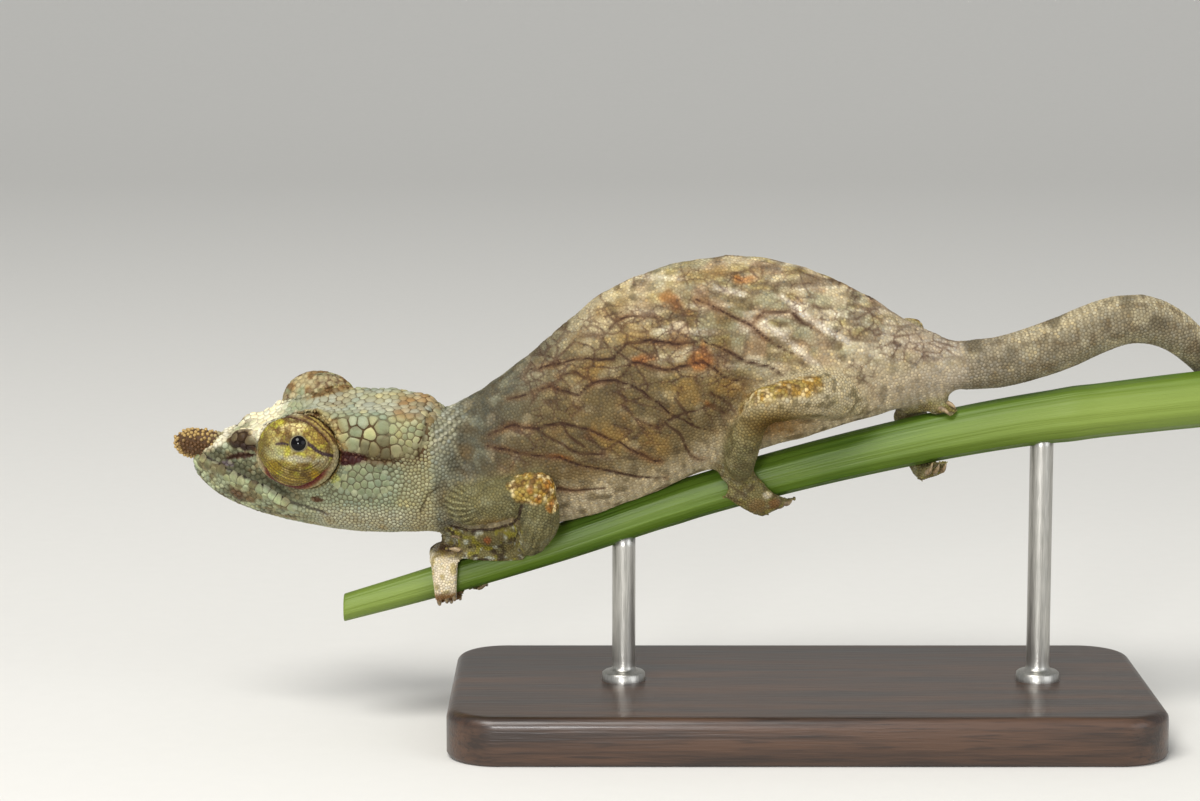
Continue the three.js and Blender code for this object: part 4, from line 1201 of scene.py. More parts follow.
def shaped_head(p, amount):
    """Folds and features of the head, as moves along the skin's normals."""
    s = settings().skin
    q = to_head(p)
    f, side, u = q[:, 0], np.abs(q[:, 1]), q[:, 2]
    flat = np.column_stack([f, u])
    lip, where = reach(MOUTH, flat)
    above = u - straight(MOUTH, f)
    ends = step(0, 0.06, where) * step(1.0, 0.93, where)
    move = -s.mouth / MM * bell(lip, 0.09) * ends
    move += (0.05 * bell(above - 0.36, 0.22) + 0.12 * bell(above + 0.5, 0.34)) * step(7.5, 9.5, f)
    crest, _ = reach(CREST, np.column_stack([f, side, u]))
    move += 0.08 * bell(crest, 0.33) * step(5.5, 8, f)
    _, turn, far = turret_place(q)
    outer, cheek = side > 1.5, side > 0.8
    folds = 0.17 * bell(far - 1.2, 0.08) + 0.05 * bell(far - 1.42, 0.06) - 0.06 * bell(far - 1.33, 0.04)
    behind = step(-0.1, 0.5, np.sin(turn)) * step(0.3, -0.3, np.cos(turn))
    move += outer * folds
    move += outer * behind * 0.26 * bell(far - 1.05, 0.09)
    mound = oval(f, u, (13.0, 0), (0.95, 0.55))
    move += cheek * 0.26 * step(1.2, 0.3, mound)
    move += 0.3 * bell(f - 14.9, 0.6) * step(-1.2, -0.6, u)
    nostril = oval(f, u, (12.75, -0.12), (0.2, 0.14))
    move -= cheek * 0.12 * step(1.2, 0.5, nostril)
    for line, width, _, _ in HEAD_LINES[:3]:
        move -= cheek * 0.12 * bell(reach(line, flat)[0], width * 0.7)
    rear, _ = reach([[6.2, -0.1], [4.6, -0.3], [2.6, -0.6], [1.0, -0.9]], flat)
    move += (side > 1) * 0.09 * bell(rear - 0.3, 0.25)
    for line, depth, width in CREASES[:-1]:
        move -= depth * bell(reach(line, flat)[0], width)
    tip = bell(f - 0.85, 0.5) * step(1.4, 1.9, u)
    move += 0.14 * tip + 0.03 * clouds(q, 0.9, 81)
    return move * amount


def shaped_body(p, shares):
    """Furrows, folds and creases of the body, as moves along the skin's normals."""
    s = settings().skin
    trunk = shares["trunk"]
    move = -s.furrow / MM * flank_lines(p) * trunk * step(-0.2, 1.5, p[:, 2] - straight(BELLY, p[:, 0]))
    move += (0.06 * clouds(p, 1.4, 82) + 0.035 * clouds(p, 0.6, 87)) * trunk
    q = to_head(p)
    behind_casque = step(0.9, 0.2, oval(q[:, 0], q[:, 2], (-0.15, 1.6), (1, 2)))
    move -= 0.08 * behind_casque * (shares["neck"] + shares["trunk"])
    move += 0.045 * neck_rows(p) * shares["neck"]
    line, depth, width = CREASES[-1]
    move -= depth * bell(reach(line, q[:, [0, 2]])[0], width) * (np.abs(q[:, 1]) > 1)
    move += 0.055 * arm_rows(p) * shares["arm"]
    crease, _ = reach(ARM_CREASE, p[:, [0, 2]])
    move -= 0.16 * bell(crease, 0.11) * (p[:, 1] < NEAR_ARM) * (1 - shares["head"])
    folds = np.cos((q[:, 0] * 0.85 + q[:, 2] * 0.65 + 0.35 * clouds(p, 1.5, 83)) * 2 * np.pi / 1.35)
    low = step(-2.0, -4.5, p[:, 2])
    move += 0.05 * folds * low * np.clip(shares["neck"] + 0.4 * shares["head"] * step(4, 1, q[:, 0]), 0, 1)
    move += 0.04 * clouds(p, 0.7, 84) * (shares["arm"] + shares["leg"] + 0.6 * shares["foot"])
    return move


def lid_angle():
    """The opening of the lids, as an angle from the gaze."""
    return settings().eye.lid / MM / LID_REACH


def turret_shells():
    """Both turrets: lids round the opening, ring folds, and a closed back inside the head."""
    s = settings()
    gaze, ahead, over = turret_axes(GAZE / TURRET)
    edge = lid_angle()
    lid = [(edge * 0.5, 0.72), (edge * 0.98, 0.8), (edge * 0.97, 0.93), (edge, 0.968), (edge * 1.04, 0.988),
           (edge * 1.1, 1.002), (edge * 1.18, 1.006), (edge * 1.26, 1.002)]
    rows = lid + [(a, 1.0) for a in np.linspace(edge * 1.34, 2.1, 66)] + [(2.3, 0.9), (2.5, 0.8)]
    sides = 156
    turn = turns(sides)
    grid = []
    for number, (angle, far) in enumerate(rows):
        around = np.cos(turn)[:, None] * ahead + np.sin(turn)[:, None] * over
        d = math.cos(angle) * gaze + math.sin(angle) * around
        reach_ = np.full(sides, far)
        if len(lid) <= number < len(rows) - 2:
            x, y, past = turret_disc(d)
            at, depth = d * TURRET_WIDE, s.skin.fold / MM / TURRET_WIDE
            reach_ = reach_ - depth * turret_arcs(x, y, 0.02 * clouds(at, 0.8, 64))
            reach_ = reach_ - depth * 1.6 * bell(past - 1.0, 0.04) + depth * 1.1 * step(1.0, 1.07, past)
            reach_ = reach_ + 0.006 * clouds(at, 0.8, 85) + 0.005 * clouds(at, 0.3, 86)
        grid.append(EYE + TURRET * d * reach_[:, None])
    near = np.array(grid)
    shells = []
    for sign in (1, -1):
        points, sets = rings(near * [1, sign, 1] + [0, 0, RIGHT_LIFT * (sign < 0)])
        points = from_head(points)
        shells.append((points, turned_out(points, sets)))
    return shells


def with_turrets(mesh):
    """Joins the turret shells to the skin; they sit in the open sockets of the head."""
    points = points_of(mesh)
    shares = {r: kept_values(mesh, r) for r in REGIONS}
    quads = np.array([tuple(p.vertices) for p in mesh.polygons if len(p.vertices) == 4])
    tris = [np.array([tuple(p.vertices) for p in mesh.polygons if len(p.vertices) == 3]).reshape(-1, 3)]
    more = [tuple(p.vertices) for p in mesh.polygons if len(p.vertices) > 4]
    others = [np.array([f for f in more if len(f) == size]) for size in sorted({len(f) for f in more})]
    is_turret = np.zeros(len(points))
    all_quads = [quads]
    for shell, (four, three) in turret_shells():
        start = len(points)
        points = np.vstack([points, shell])
        is_turret = np.concatenate([is_turret, np.ones(len(shell))])
        all_quads.append(four + start)
        tris.append(three + start)
    joined = mesh_of("chameleon_skin", points, np.concatenate(all_quads), np.concatenate(tris), *others)
    for r, values in shares.items():
        keep_values(joined, r, np.concatenate([values, np.zeros(len(points) - len(values))]))
    keep_values(joined, "turret", is_turret)
    return joined


def finer_head(mesh, shares):
    """Divides the faces of the head once more."""
    tool = bmesh.new()
    tool.from_mesh(mesh)
    inside = shares > 0.45
    edges = [e for e in tool.edges if inside[e.verts[0].index] and inside[e.verts[1].index]]
    bmesh.ops.subdivide_edges(tool, edges=edges, cuts=1, use_grid_fill=True)
    tool.to_mesh(mesh)
    tool.free()


def unwrap(piece):
    """Lays the skin out flat, as the map that the scales' places are read from."""
    piece.data.uv_layers.new(name="OFBake")
    bpy.ops.object.select_all(action="DESELECT")
    piece.select_set(True)
    bpy.context.view_layer.objects.active = piece
    bpy.ops.object.mode_set(mode="EDIT")
    bpy.ops.mesh.select_all(action="SELECT")
    bpy.ops.uv.smart_project(angle_limit=math.radians(70), island_margin=0.001)
    bpy.ops.object.mode_set(mode="OBJECT")


def skin_shape():
    s = settings().skin
    swollen, _ = flesh_mesh(s.weld / MM)
    mesh = changed(swollen, "REMESH", mode="VOXEL", voxel_size=s.voxel / MM)
    bpy.data.meshes.remove(swollen)
    p, edges = points_of(mesh), edges_of(mesh)
    shares = region_shares(p, edges, 6)
    soft = sum(shares[r] * a for r, a in (("head", 0.09), ("neck", 0.5), ("trunk", 0.5), ("tail", 0.2),
                                          ("arm", 0.16), ("leg", 0.16), ("foot", 0.05)))
    smooth = relaxed(p, edges, soft, 60)
    p = smooth + relaxed(p - smooth, edges, soft, 60)
    moved(mesh, p)
    depth = s.weld / MM + s.coat / MM * (1 - 0.35 * shares["foot"])
    p = p - normals_of(mesh) * depth[:, None]
    p = p + 0.4 * (relaxed(p, edges, 0.5, 1) - p)
    moved(mesh, p)
    finer_head(mesh, shares["head"])
    p, edges = points_of(mesh), edges_of(mesh)
    shares = region_shares(p, edges, 8)
    p = relaxed(p, edges, 0.5 * shares["head"], 2)
    moved(mesh, p)
    p = p + normals_of(mesh) * (shaped_head(p, shares["head"]) + shaped_body(p, shares))[:, None]
    moved(mesh, p)
    for region, values in shares.items():
        keep_values(mesh, region, values)
    thinned = changed(mesh, "DECIMATE", ratio=s.thin)
    bpy.data.meshes.remove(mesh)
    return with_turrets(thinned)


# ---- Scales ----


class Surface:
    """The skin as something that points can be dropped on and values read from."""

    def __init__(self, mesh):
        self.points = points_of(mesh) / MM - ORIGIN
        self.normals = normals_of(mesh)
        mesh.calc_loop_triangles()
        self.corners = taken(mesh.loop_triangles, "vertices", 3, np.int32)
        self.tree = BVHTree.FromPolygons(self.points.tolist(), self.corners.tolist())
        self.values = {r: kept_values(mesh, r) for r in PARTS}
        flat = taken(mesh.uv_layers["OFBake"].data, "uv", 2)
        self.uv = flat[taken(mesh.loop_triangles, "loops", 3, np.int32)]

    def drop(self, points):
        """The nearest places on the skin, and the triangles that they lie in."""
        found = [self.tree.find_nearest(p) for p in points.tolist()]
        at = np.array([f[0] for f in found])
        triangle = np.array([f[2] for f in found])
        return at, triangle

    def weights(self, at, triangle):
        a, b, c = (self.points[self.corners[triangle, k]] for k in range(3))
        whole = np.linalg.norm(np.cross(b - a, c - a), axis=1)
        wa = np.linalg.norm(np.cross(b - at, c - at), axis=1) / np.maximum(whole, 1e-12)
        wb = np.linalg.norm(np.cross(c - at, a - at), axis=1) / np.maximum(whole, 1e-12)
        w = np.clip(np.column_stack([wa, wb, 1 - wa - wb]), 0, 1)
        return w / w.sum(1, keepdims=True)

    def read(self, values, at, triangle):
        w = self.weights(at, triangle)
        picked = values[self.corners[triangle]]
        return (picked * (w if picked.ndim == 2 else w[..., None])).sum(1)

    def share(self, part, at, triangle):
        return self.read(self.values[part], at, triangle)

    def shares(self, at, triangle):
        return {part: self.share(part, at, triangle) for part in PARTS}

    def uv_at(self, at, triangle):
        return (self.uv[triangle] * self.weights(at, triangle)[..., None]).sum(1)


# Where elbow and knees have larger scales: middles and sizes.
JOINTS = (([-4.3, -6, -5], [1.75, 1.7, 1.2]), ([11.5, -5.6, 1.5], [2.4, 1, 0.9]),
          ([21.3, 4.2, 5], [1.2, 1.2, 1.2]))


def spacing_of(p, values):
    """How far apart scales lie at each place, in millimetres."""
    s = settings().scales
    q = to_head(p)
    drift = 0.5 * clouds(q, 1.1, 77)
    f, u = q[:, 0] + drift, q[:, 2] + 0.5 * drift
    size = {key: getattr(s, key) / MM for key in (
        "trunk", "belly", "neck", "temple", "casque", "snout", "throat", "turret", "limb", "toe", "tail")}
    trunk = mixed(size["belly"], size["trunk"], step(0.6, 3.0, p[:, 2] - straight(BELLY, p[:, 0])))
    trunk = trunk * (0.8 + 0.2 * step(0.1, 0.4, furrow_reach(p)))
    temple = step(0.0, 0.4, u) * step(2.3, 1.8, u) * step(1.6, 3.2, f) * step(6.2, 5.6, f)
    crown = step(1.6, 2.0, u) * step(11, 9, f)
    rear = step(3.4, 1.6, f) * step(0.1, 0.5, f) * step(-0.6, 0.4, u)
    cheek = step(-3.6, -2.2, u) * step(-0.4, -0.8, u) * step(1.0, 4.2, f) * step(7.2, 6.2, f)
    head = size["throat"] + (size["snout"] + 0.12 - size["throat"]) * cheek
    head = mixed(head, size["snout"], step(8, 10, f))
    head = mixed(head, size["casque"], np.maximum(crown, rear * 0.6))
    head = mixed(head, size["temple"], temple)
    _, _, past = turret_disc(unit(turret_local(q)))
    turret = size["turret"] + 0.1 * step(0.98, 1.05, past)
    turret = np.where(q[:, 1] < 0, size["casque"] * 0.85, turret)
    lips = bell(straight(MOUTH, f) - u - 0.45, 0.4)
    mound = step(1.1, 0.7, oval(f, u, (13, 0), (0.9, 0.5)))
    head = head + 0.2 * lips * step(8.5, 10.5, f) + 0.1 * mound
    head = head + 0.12 * step(8.5, 10.5, f) * step(-0.2, 0.4, u)
    head = mixed(head, size["throat"], step(1.36, 1.2, turret_place(q)[2]))
    joints = np.min([np.linalg.norm((p - at) / wide, axis=1) for at, wide in JOINTS], 0)
    limb = size["limb"] + 0.08 * step(1.15, 0.85, joints)
    neck = size["neck"] + 0.08 * nape(p)
    kinds = {"head": head, "neck": neck, "trunk": trunk, "tail": size["tail"], "arm": limb,
             "leg": limb, "foot": size["toe"], "turret": turret}
    total = sum(values[k] for k in kinds)
    return sum(values[k] * kinds[k] for k in kinds) / np.maximum(total, 1e-6)


def near_ones(points, count):
    tree = KDTree(len(points))
    for i, p in enumerate(points.tolist()):
        tree.insert(p, i)
    tree.balance()
    return np.array([[hit[1] for hit in tree.find_n(p, count + 1)] for p in points.tolist()])[:, 1:]


def scattered(surface, spacing, allowed, seed):
    """Random places on the skin, as many as their spacing asks for."""
    rng = np.random.default_rng(seed)
    a, b, c = (surface.points[surface.corners[:, k]] for k in range(3))
    area = np.linalg.norm(np.cross(b - a, c - a), axis=1) / 2
    mean = spacing[surface.corners].mean(1)
    want = area / (0.88 * mean**2) * allowed
    count = int(round(want.sum()))
    edges = np.cumsum(want)
    picks = (np.arange(count) + rng.random(count)) / count * edges[-1]
    triangle = np.minimum(np.searchsorted(edges, picks), len(edges) - 1)
    r1, r2 = np.sqrt(rng.random(count)), rng.random(count)
    at = ((1 - r1)[:, None] * a[triangle] + (r1 * (1 - r2))[:, None] * b[triangle]
          + (r1 * r2)[:, None] * c[triangle])
    return at, triangle


def settled(surface, spacing, at, triangle, rounds):
    """Lets the places push each other apart until they lie evenly on the skin."""
    wider, pace, longest = 1.12, 0.4, 0.45  # room in shares of the spacing, and how far a round moves
    for _ in range(rounds):
        normal = unit(surface.read(surface.normals, at, triangle))
        size = surface.read(spacing, at, triangle)
        near = near_ones(at, 7)
        away = at[:, None] - at[near]
        far = np.maximum(np.linalg.norm(away, axis=2), 1e-6)
        room = (size[:, None] + size[near]) / 2 * wider
        push = np.clip(room - far, 0, None) / far
        move = (away * push[..., None]).sum(1) * pace
        move -= normal * (move * normal).sum(1, keepdims=True)
        far = np.linalg.norm(move, axis=1, keepdims=True)
        move *= np.minimum(1, longest * size[:, None] / np.maximum(far, 1e-9))
        at, triangle = surface.drop(at + move)
    return at, triangle


FREE = 9.0  # a width that no scale comes near


def plates(at, normal, size, sides, levels, height, gap, seed, room, most, sharp, surface=None):
    """Little domes, each filling the ground nearer to its own place than to any other.

    Gives their points, a block for each, the faces of one and a block's length. With a surface, they
    bend to it.
    """
    rng = np.random.default_rng(seed)
    n = len(at)
    near = near_ones(at, 11)
    lean = np.where(np.abs(normal[:, :1]) < 0.8, [[1.0, 0, 0]], [[0, 1.0, 0]])
    one = unit(np.cross(normal, lean))
    two = np.cross(normal, one)
    to = at[near] - at[:, None]
    x, y = (to * one[:, None]).sum(2), (to * two[:, None]).sum(2)
    far2 = x**2 + y**2
    half = np.maximum((far2 + size[:, None] ** 2 - size[near] ** 2) / 2, 0.2 * far2)
    half[(normal[near] * normal[:, None]).sum(2) < -0.1] = FREE
    angle = (np.arange(sides)[None] + rng.random((n, 1))) * 2 * np.pi / sides
    c, s = np.cos(angle), np.sin(angle)
    facing = x[..., None] * c[:, None] + y[..., None] * s[:, None]
    limit = np.where(facing > 1e-6, half[..., None] / np.maximum(facing, 1e-6), FREE).min(1)
    radius = np.clip(limit * (1 - gap), 0.2 * size[:, None], most * size[:, None])
    softer = sharp * radius + (1 - sharp) / 2 * (np.roll(radius, 1, 1) + np.roll(radius, -1, 1))
    radius = np.minimum(np.minimum(radius, softer), room[:, None])
    ray = one[:, None] * c[..., None] + two[:, None] * s[..., None]
    tall = (size * height * rng.uniform(0.8, 1.2, n))[:, None, None]
    rows = []
    for wide, high in levels:
        flat, up = at[:, None] + ray * (radius * wide)[..., None], normal[:, None]
        if surface:
            flat, triangle = surface.drop(flat.reshape(-1, 3))
            up = unit(surface.read(surface.normals, flat, triangle)).reshape(n, sides, 3)
            flat = flat.reshape(n, sides, 3)
        rows.append(flat + up * tall * high)
    tip = at[:, None] + normal[:, None] * tall
    points = np.concatenate([*rows, tip], axis=1)
    block = len(levels) * sides + 1
    i, j = np.arange(sides), (np.arange(sides) + 1) % sides
    below = np.arange(len(levels) - 1) * sides
    top = below[-1] + sides
    faces = [np.column_stack([i, j, j + sides]) + r for r in below]
    faces += [np.column_stack([i, j + sides, i + sides]) + r for r in below]
    faces.append(np.column_stack([top + i, top + j, np.full(sides, block - 1)]))
    return points, np.concatenate(faces), block


# Rings of a scale as [share of its width, share of its height], from the root up to below the tip.
GRANULE = [(1.0, -0.55), (0.8, 0.62)]
PLATE = [(1.0, -0.6), (0.88, 0.5), (0.58, 0.92)]
PATCH = 0.0015  # half width of a scale on the flat map


def coat_piece(name, finish, slot, surface, at, triangle, spacing, sides, levels, height, seed):
    """One piece of coat: its scales, their markings, and their patches on the skin's flat map."""
    normal = unit(surface.read(surface.normals, at, triangle))
    size = surface.read(spacing, at, triangle)
    room = np.where(surface.share("trunk", at, triangle) > 0.5, furrow_reach(at) - 0.04, FREE)
    most, sharp, under = (0.85, 0.9, surface) if levels is PLATE else (0.68, 0.65, None)
    points, faces, block = plates(at, normal, size, sides, levels, height, settings().scales.gap, seed,
                                  np.maximum(room, 0.03), most, sharp, under)
    n = len(at)
    every = (faces[None] + (np.arange(n) * block)[:, None, None]).reshape(-1, 3)
    mesh = mesh_of(name, in_row(points.reshape(-1, 3)), every)
    shares = surface.shares(at, triangle)
    keep_colours(mesh, scale_colours(at, points, shares, levels, sides, seed).reshape(-1, 3))
    layer = mesh.uv_layers.new(name="OFBake")
    root = surface.uv_at(at, triangle)
    wide = np.concatenate([np.full(sides, w) for w, _ in levels] + [[0]])
    ring = np.concatenate([np.tile(turns(sides), len(levels)), [0]])
    patch = PATCH * wide[:, None] * np.column_stack([np.cos(ring), np.sin(ring)])
    uv = (root[:, None] + patch[None])[:, faces.ravel()].reshape(-1, 2)
    layer.data.foreach_set("uv", uv.astype(np.float32).ravel())
    return place(name, mesh, finish, slot)


def scale_colours(at, points, shares, levels, sides, seed):
    """Colours at the corners of scales. Markings run on across them, plates are more of one colour. Each
    scale's root is painted darker and its top lighter, as painted shade and highlight.
    """
    rng = np.random.default_rng(seed + 100)
    n, block = points.shape[:2]
    each = {r: np.repeat(v, block) for r, v in shares.items()}
    tone = Paint(points.reshape(-1, 3), each).all().reshape(n, block, 3)
    if levels is PLATE:
        tone = tone * 0.5 + Paint(at, shares).all()[:, None] * 0.5
    tone = tone * np.clip(1 + (0.045 + 0.025 * shares["trunk"]) * rng.normal(size=n), 0.7, 1.3)[:, None, None]
    warm = rng.normal(size=n) * 0.014
    tone = tone * np.column_stack([1 + warm, 1 + 0.2 * warm, 1 - 1.6 * warm])[:, None]
    pale = (rng.random(n) < 0.15 * shares["head"]) * 0.25
    tone = mixed(tone, np.array([190, 188, 156]) / 255, pale[:, None, None])
    if levels is PLATE:
        # Painted shade and highlight: a plate's root ring is darker and its shoulder lighter, evened out on
        # the crown
        painted_shading = np.repeat([[0.74, 0.72, 0.68], [1.06, 1.05, 1.03], [0.99, 1.0, 0.96]], sides, 0)
        painted_shading = np.concatenate([painted_shading, [[0.93, 0.96, 0.9]]])[None]
        return tone * mixed(painted_shading, 0.97, step(1.5, 1.9, to_head(at)[:, 2])[:, None, None])
    # Painted shade and highlight: a granule's root ring is darker, most on the neck and least on the trunk,
    # and its tip lighter
    painted_shading = np.ones((n, block, 3))
    painted_shading[:, :sides] = (0.93 + 0.06 * shares["trunk"] - 0.05 * shares["neck"])[:, None, None]
    painted_shading[:, -1] = 1.02
    return tone * painted_shading


# ---- Operators ----


class CHAMELEON_OT_skin(bpy.types.Operator):
    """Draw one closed skin over the animal's flesh, with its folds and markings"""

    bl_idname = "chameleon.skin"
    bl_label = "Skin"

    def execute(self, context):
        mesh = skin_shape()
        p = points_of(mesh)
        shares = {r: kept_values(mesh, r) for r in PARTS}
        paint = Paint(p, shares)
        tone = paint.all()
        seam = shown(settings().colours.seams)
        q = paint.q
        here = blots(q, 1.3, 92, -0.5, 0.3) * step(2.3, 1.9, q[:, 2]) * step(-1.1, -0.6, q[:, 2])
        head = shares["head"] * step(9, 6.5, q[:, 0]) * (0.2 + 0.65 * here)
        head = head * step(1.15, 1.3, turret_place(q)[2])
        # Painted shade: the skin in the gaps between scales is darker than the scales (x0.86, x0.96 on the
        # trunk, x0.9 on the turrets); on the head it mixes into the seams' own brown
        dark = mixed(tone * (0.86 + 0.1 * shares["trunk"])[:, None], seam, head[:, None])
        keep_colours(mesh, mixed(dark, tone * 0.9, shares["turret"][:, None]))
        moved(mesh, in_row(p))
        unwrap(place("chameleon_skin", mesh, skin_finish(), "body_skin", *FLESH, *TURRETS))
        return {"FINISHED"}


class CHAMELEON_OT_scales(bpy.types.Operator):
    """Lay scales over the whole skin: granules on body and limbs, plates on the head"""

    bl_idname = "chameleon.scales"
    bl_label = "Scales"

    def execute(self, context):
        skin = bpy.data.objects.get("chameleon_skin")
        if skin is None:
            raise RuntimeError("Draw the skin before the scales")
        s = settings().scales
        surface = Surface(skin.data)
        spacing = spacing_of(surface.points, surface.values)
        at, triangle = scattered(surface, spacing, self.bare(surface), s.seed)
        at, triangle = settled(surface, spacing, at, triangle, s.rounds)
        on_turret = surface.share("turret", at, triangle) > 0.5
        keep = ~on_turret | (turret_place(to_head(at))[0] > lid_angle() * 1.3)
        keep &= (furrow_reach(at) > 0.07) | (surface.share("trunk", at, triangle) < 0.5)
        self.lay(surface, spacing, at[keep], triangle[keep])
        return {"FINISHED"}

    def bare(self, surface):
        """1 where scales grow; inside the sockets and on the hidden backs of the turrets there are none."""
        middle = surface.points[surface.corners].mean(1)
        angle, _, far = turret_place(to_head(middle))
        on_turret = surface.values["turret"][surface.corners].mean(1) > 0.5
        socket = (far < SOCKET) & (surface.values["head"][surface.corners].mean(1) > 0.5)
        lids = on_turret & ((angle < lid_angle() * 1.2) | (angle > TURRET_BACK))
        return 1.0 - (socket | lids)

    def lay(self, surface, spacing, at, triangle):
        values = np.column_stack(list(surface.shares(at, triangle).values()))
        kind = np.array(PARTS)[np.argmax(values, axis=1)]
        size = surface.read(spacing, at, triangle)
        plate = (kind == "head") & (size > 0.47)
        left = at[:, 1] < 0
        body, horny = scale_finish("body_scale", 0.5), scale_finish("head_scale", 0.42)
        height = settings().scales.height
        groups = (
            ("scales_head_plates", horny, "head_skin", plate, 12, PLATE, height * 0.72),
            ("scales_head", horny, "head_skin", (kind == "head") & ~plate, 8, GRANULE, height * 0.85),
            ("scales_turrets", horny, "eyelid_skin", kind == "turret", 6, GRANULE, height * 0.5),
            ("scales_neck", body, "body_skin", kind == "neck", 7, GRANULE, height * 1.15),
            ("scales_left_flank", body, "body_skin", (kind == "trunk") & left, 6, GRANULE, height * 0.42),
            ("scales_right_flank", body, "body_skin", (kind == "trunk") & ~left, 6, GRANULE, height * 0.42),
            ("scales_limbs", body, "limb_skin", (kind == "arm") | (kind == "leg"), 7, GRANULE, height * 0.7),
            ("scales_feet", body, "limb_skin", kind == "foot", 7, GRANULE, height * 0.8),
            ("scales_tail", body, "tail_skin", kind == "tail", 7, GRANULE, height * 0.6),
        )
        for number, (name, finish, slot, chosen, sides, levels, tall) in enumerate(groups):
            coat_piece(name, finish, slot, surface, at[chosen], triangle[chosen], spacing, sides, levels,
                       tall, number + 1)


class CHAMELEON_OT_eyes(bpy.types.Operator):
    """Make the two glossy eyeballs that look out of the turrets"""

    bl_idname = "chameleon.eyes"
    bl_label = "Eyes"

    def execute(self, context):
        e = settings().eye
        radius = e.radius / MM
        for name, sign in (("left_eye", 1), ("right_eye", -1)):
            gaze = GAZE * [1, sign, 1]
            look = unit(gaze / TURRET**2)
            lift = [0, 0, RIGHT_LIFT * (sign < 0)]
            centre = EYE * [1, sign, 1] + lift + gaze - look * radius * 0.82
            points, angle, sets = self.ball(look, radius)
            mesh = closed_mesh(name, from_head(centre + points), sets)
            keep_values(mesh, "from_pupil", angle)
            place(name + "ball", mesh, self.finish(name), "eye", name)
        return {"FINISHED"}

    def ball(self, look, radius):
        side = unit(np.cross(look, [0, 0, 1.0]))
        over = np.cross(side, look)
        turn = turns(48)
        angles = np.concatenate([np.linspace(0.04, 0.9, 20), np.linspace(1.0, 3.1, 14)])
        rows = []
        for a in angles:
            bulge = 1 + 0.05 * math.exp(-((a / 0.5) ** 2))
            rows.append(radius * bulge * (math.cos(a) * look + math.sin(a) * (
                np.cos(turn)[:, None] * side + np.sin(turn)[:, None] * over)))
        points, sets = rings(rows)
        angle = np.concatenate([np.repeat(angles, len(turn)), [0, math.pi]])
        return points, angle, sets

    def finish(self, name):
        e = settings().eye
        f = Finish(name + "_finish")
        angle = f.kept("from_pupil")
        fleck = f.noise(0.05, 3)
        ring = (angle + fleck * 0.06).between(0.7, 0.73)
        outer = (angle + fleck * 0.06).between(0.84, 0.9)
        gold = f.blend(fleck.between(0.35, 0.65), shade(e.iris, 0.8), shade(e.iris))
        tone = f.blend(ring, shade(e.pupil), gold)
        return f.put(Base_Color=f.blend(outer, tone, (0.05, 0.035, 0.02)), Roughness=0.04 + fleck * 0.04,
                     Specular_IOR_Level=0.2)


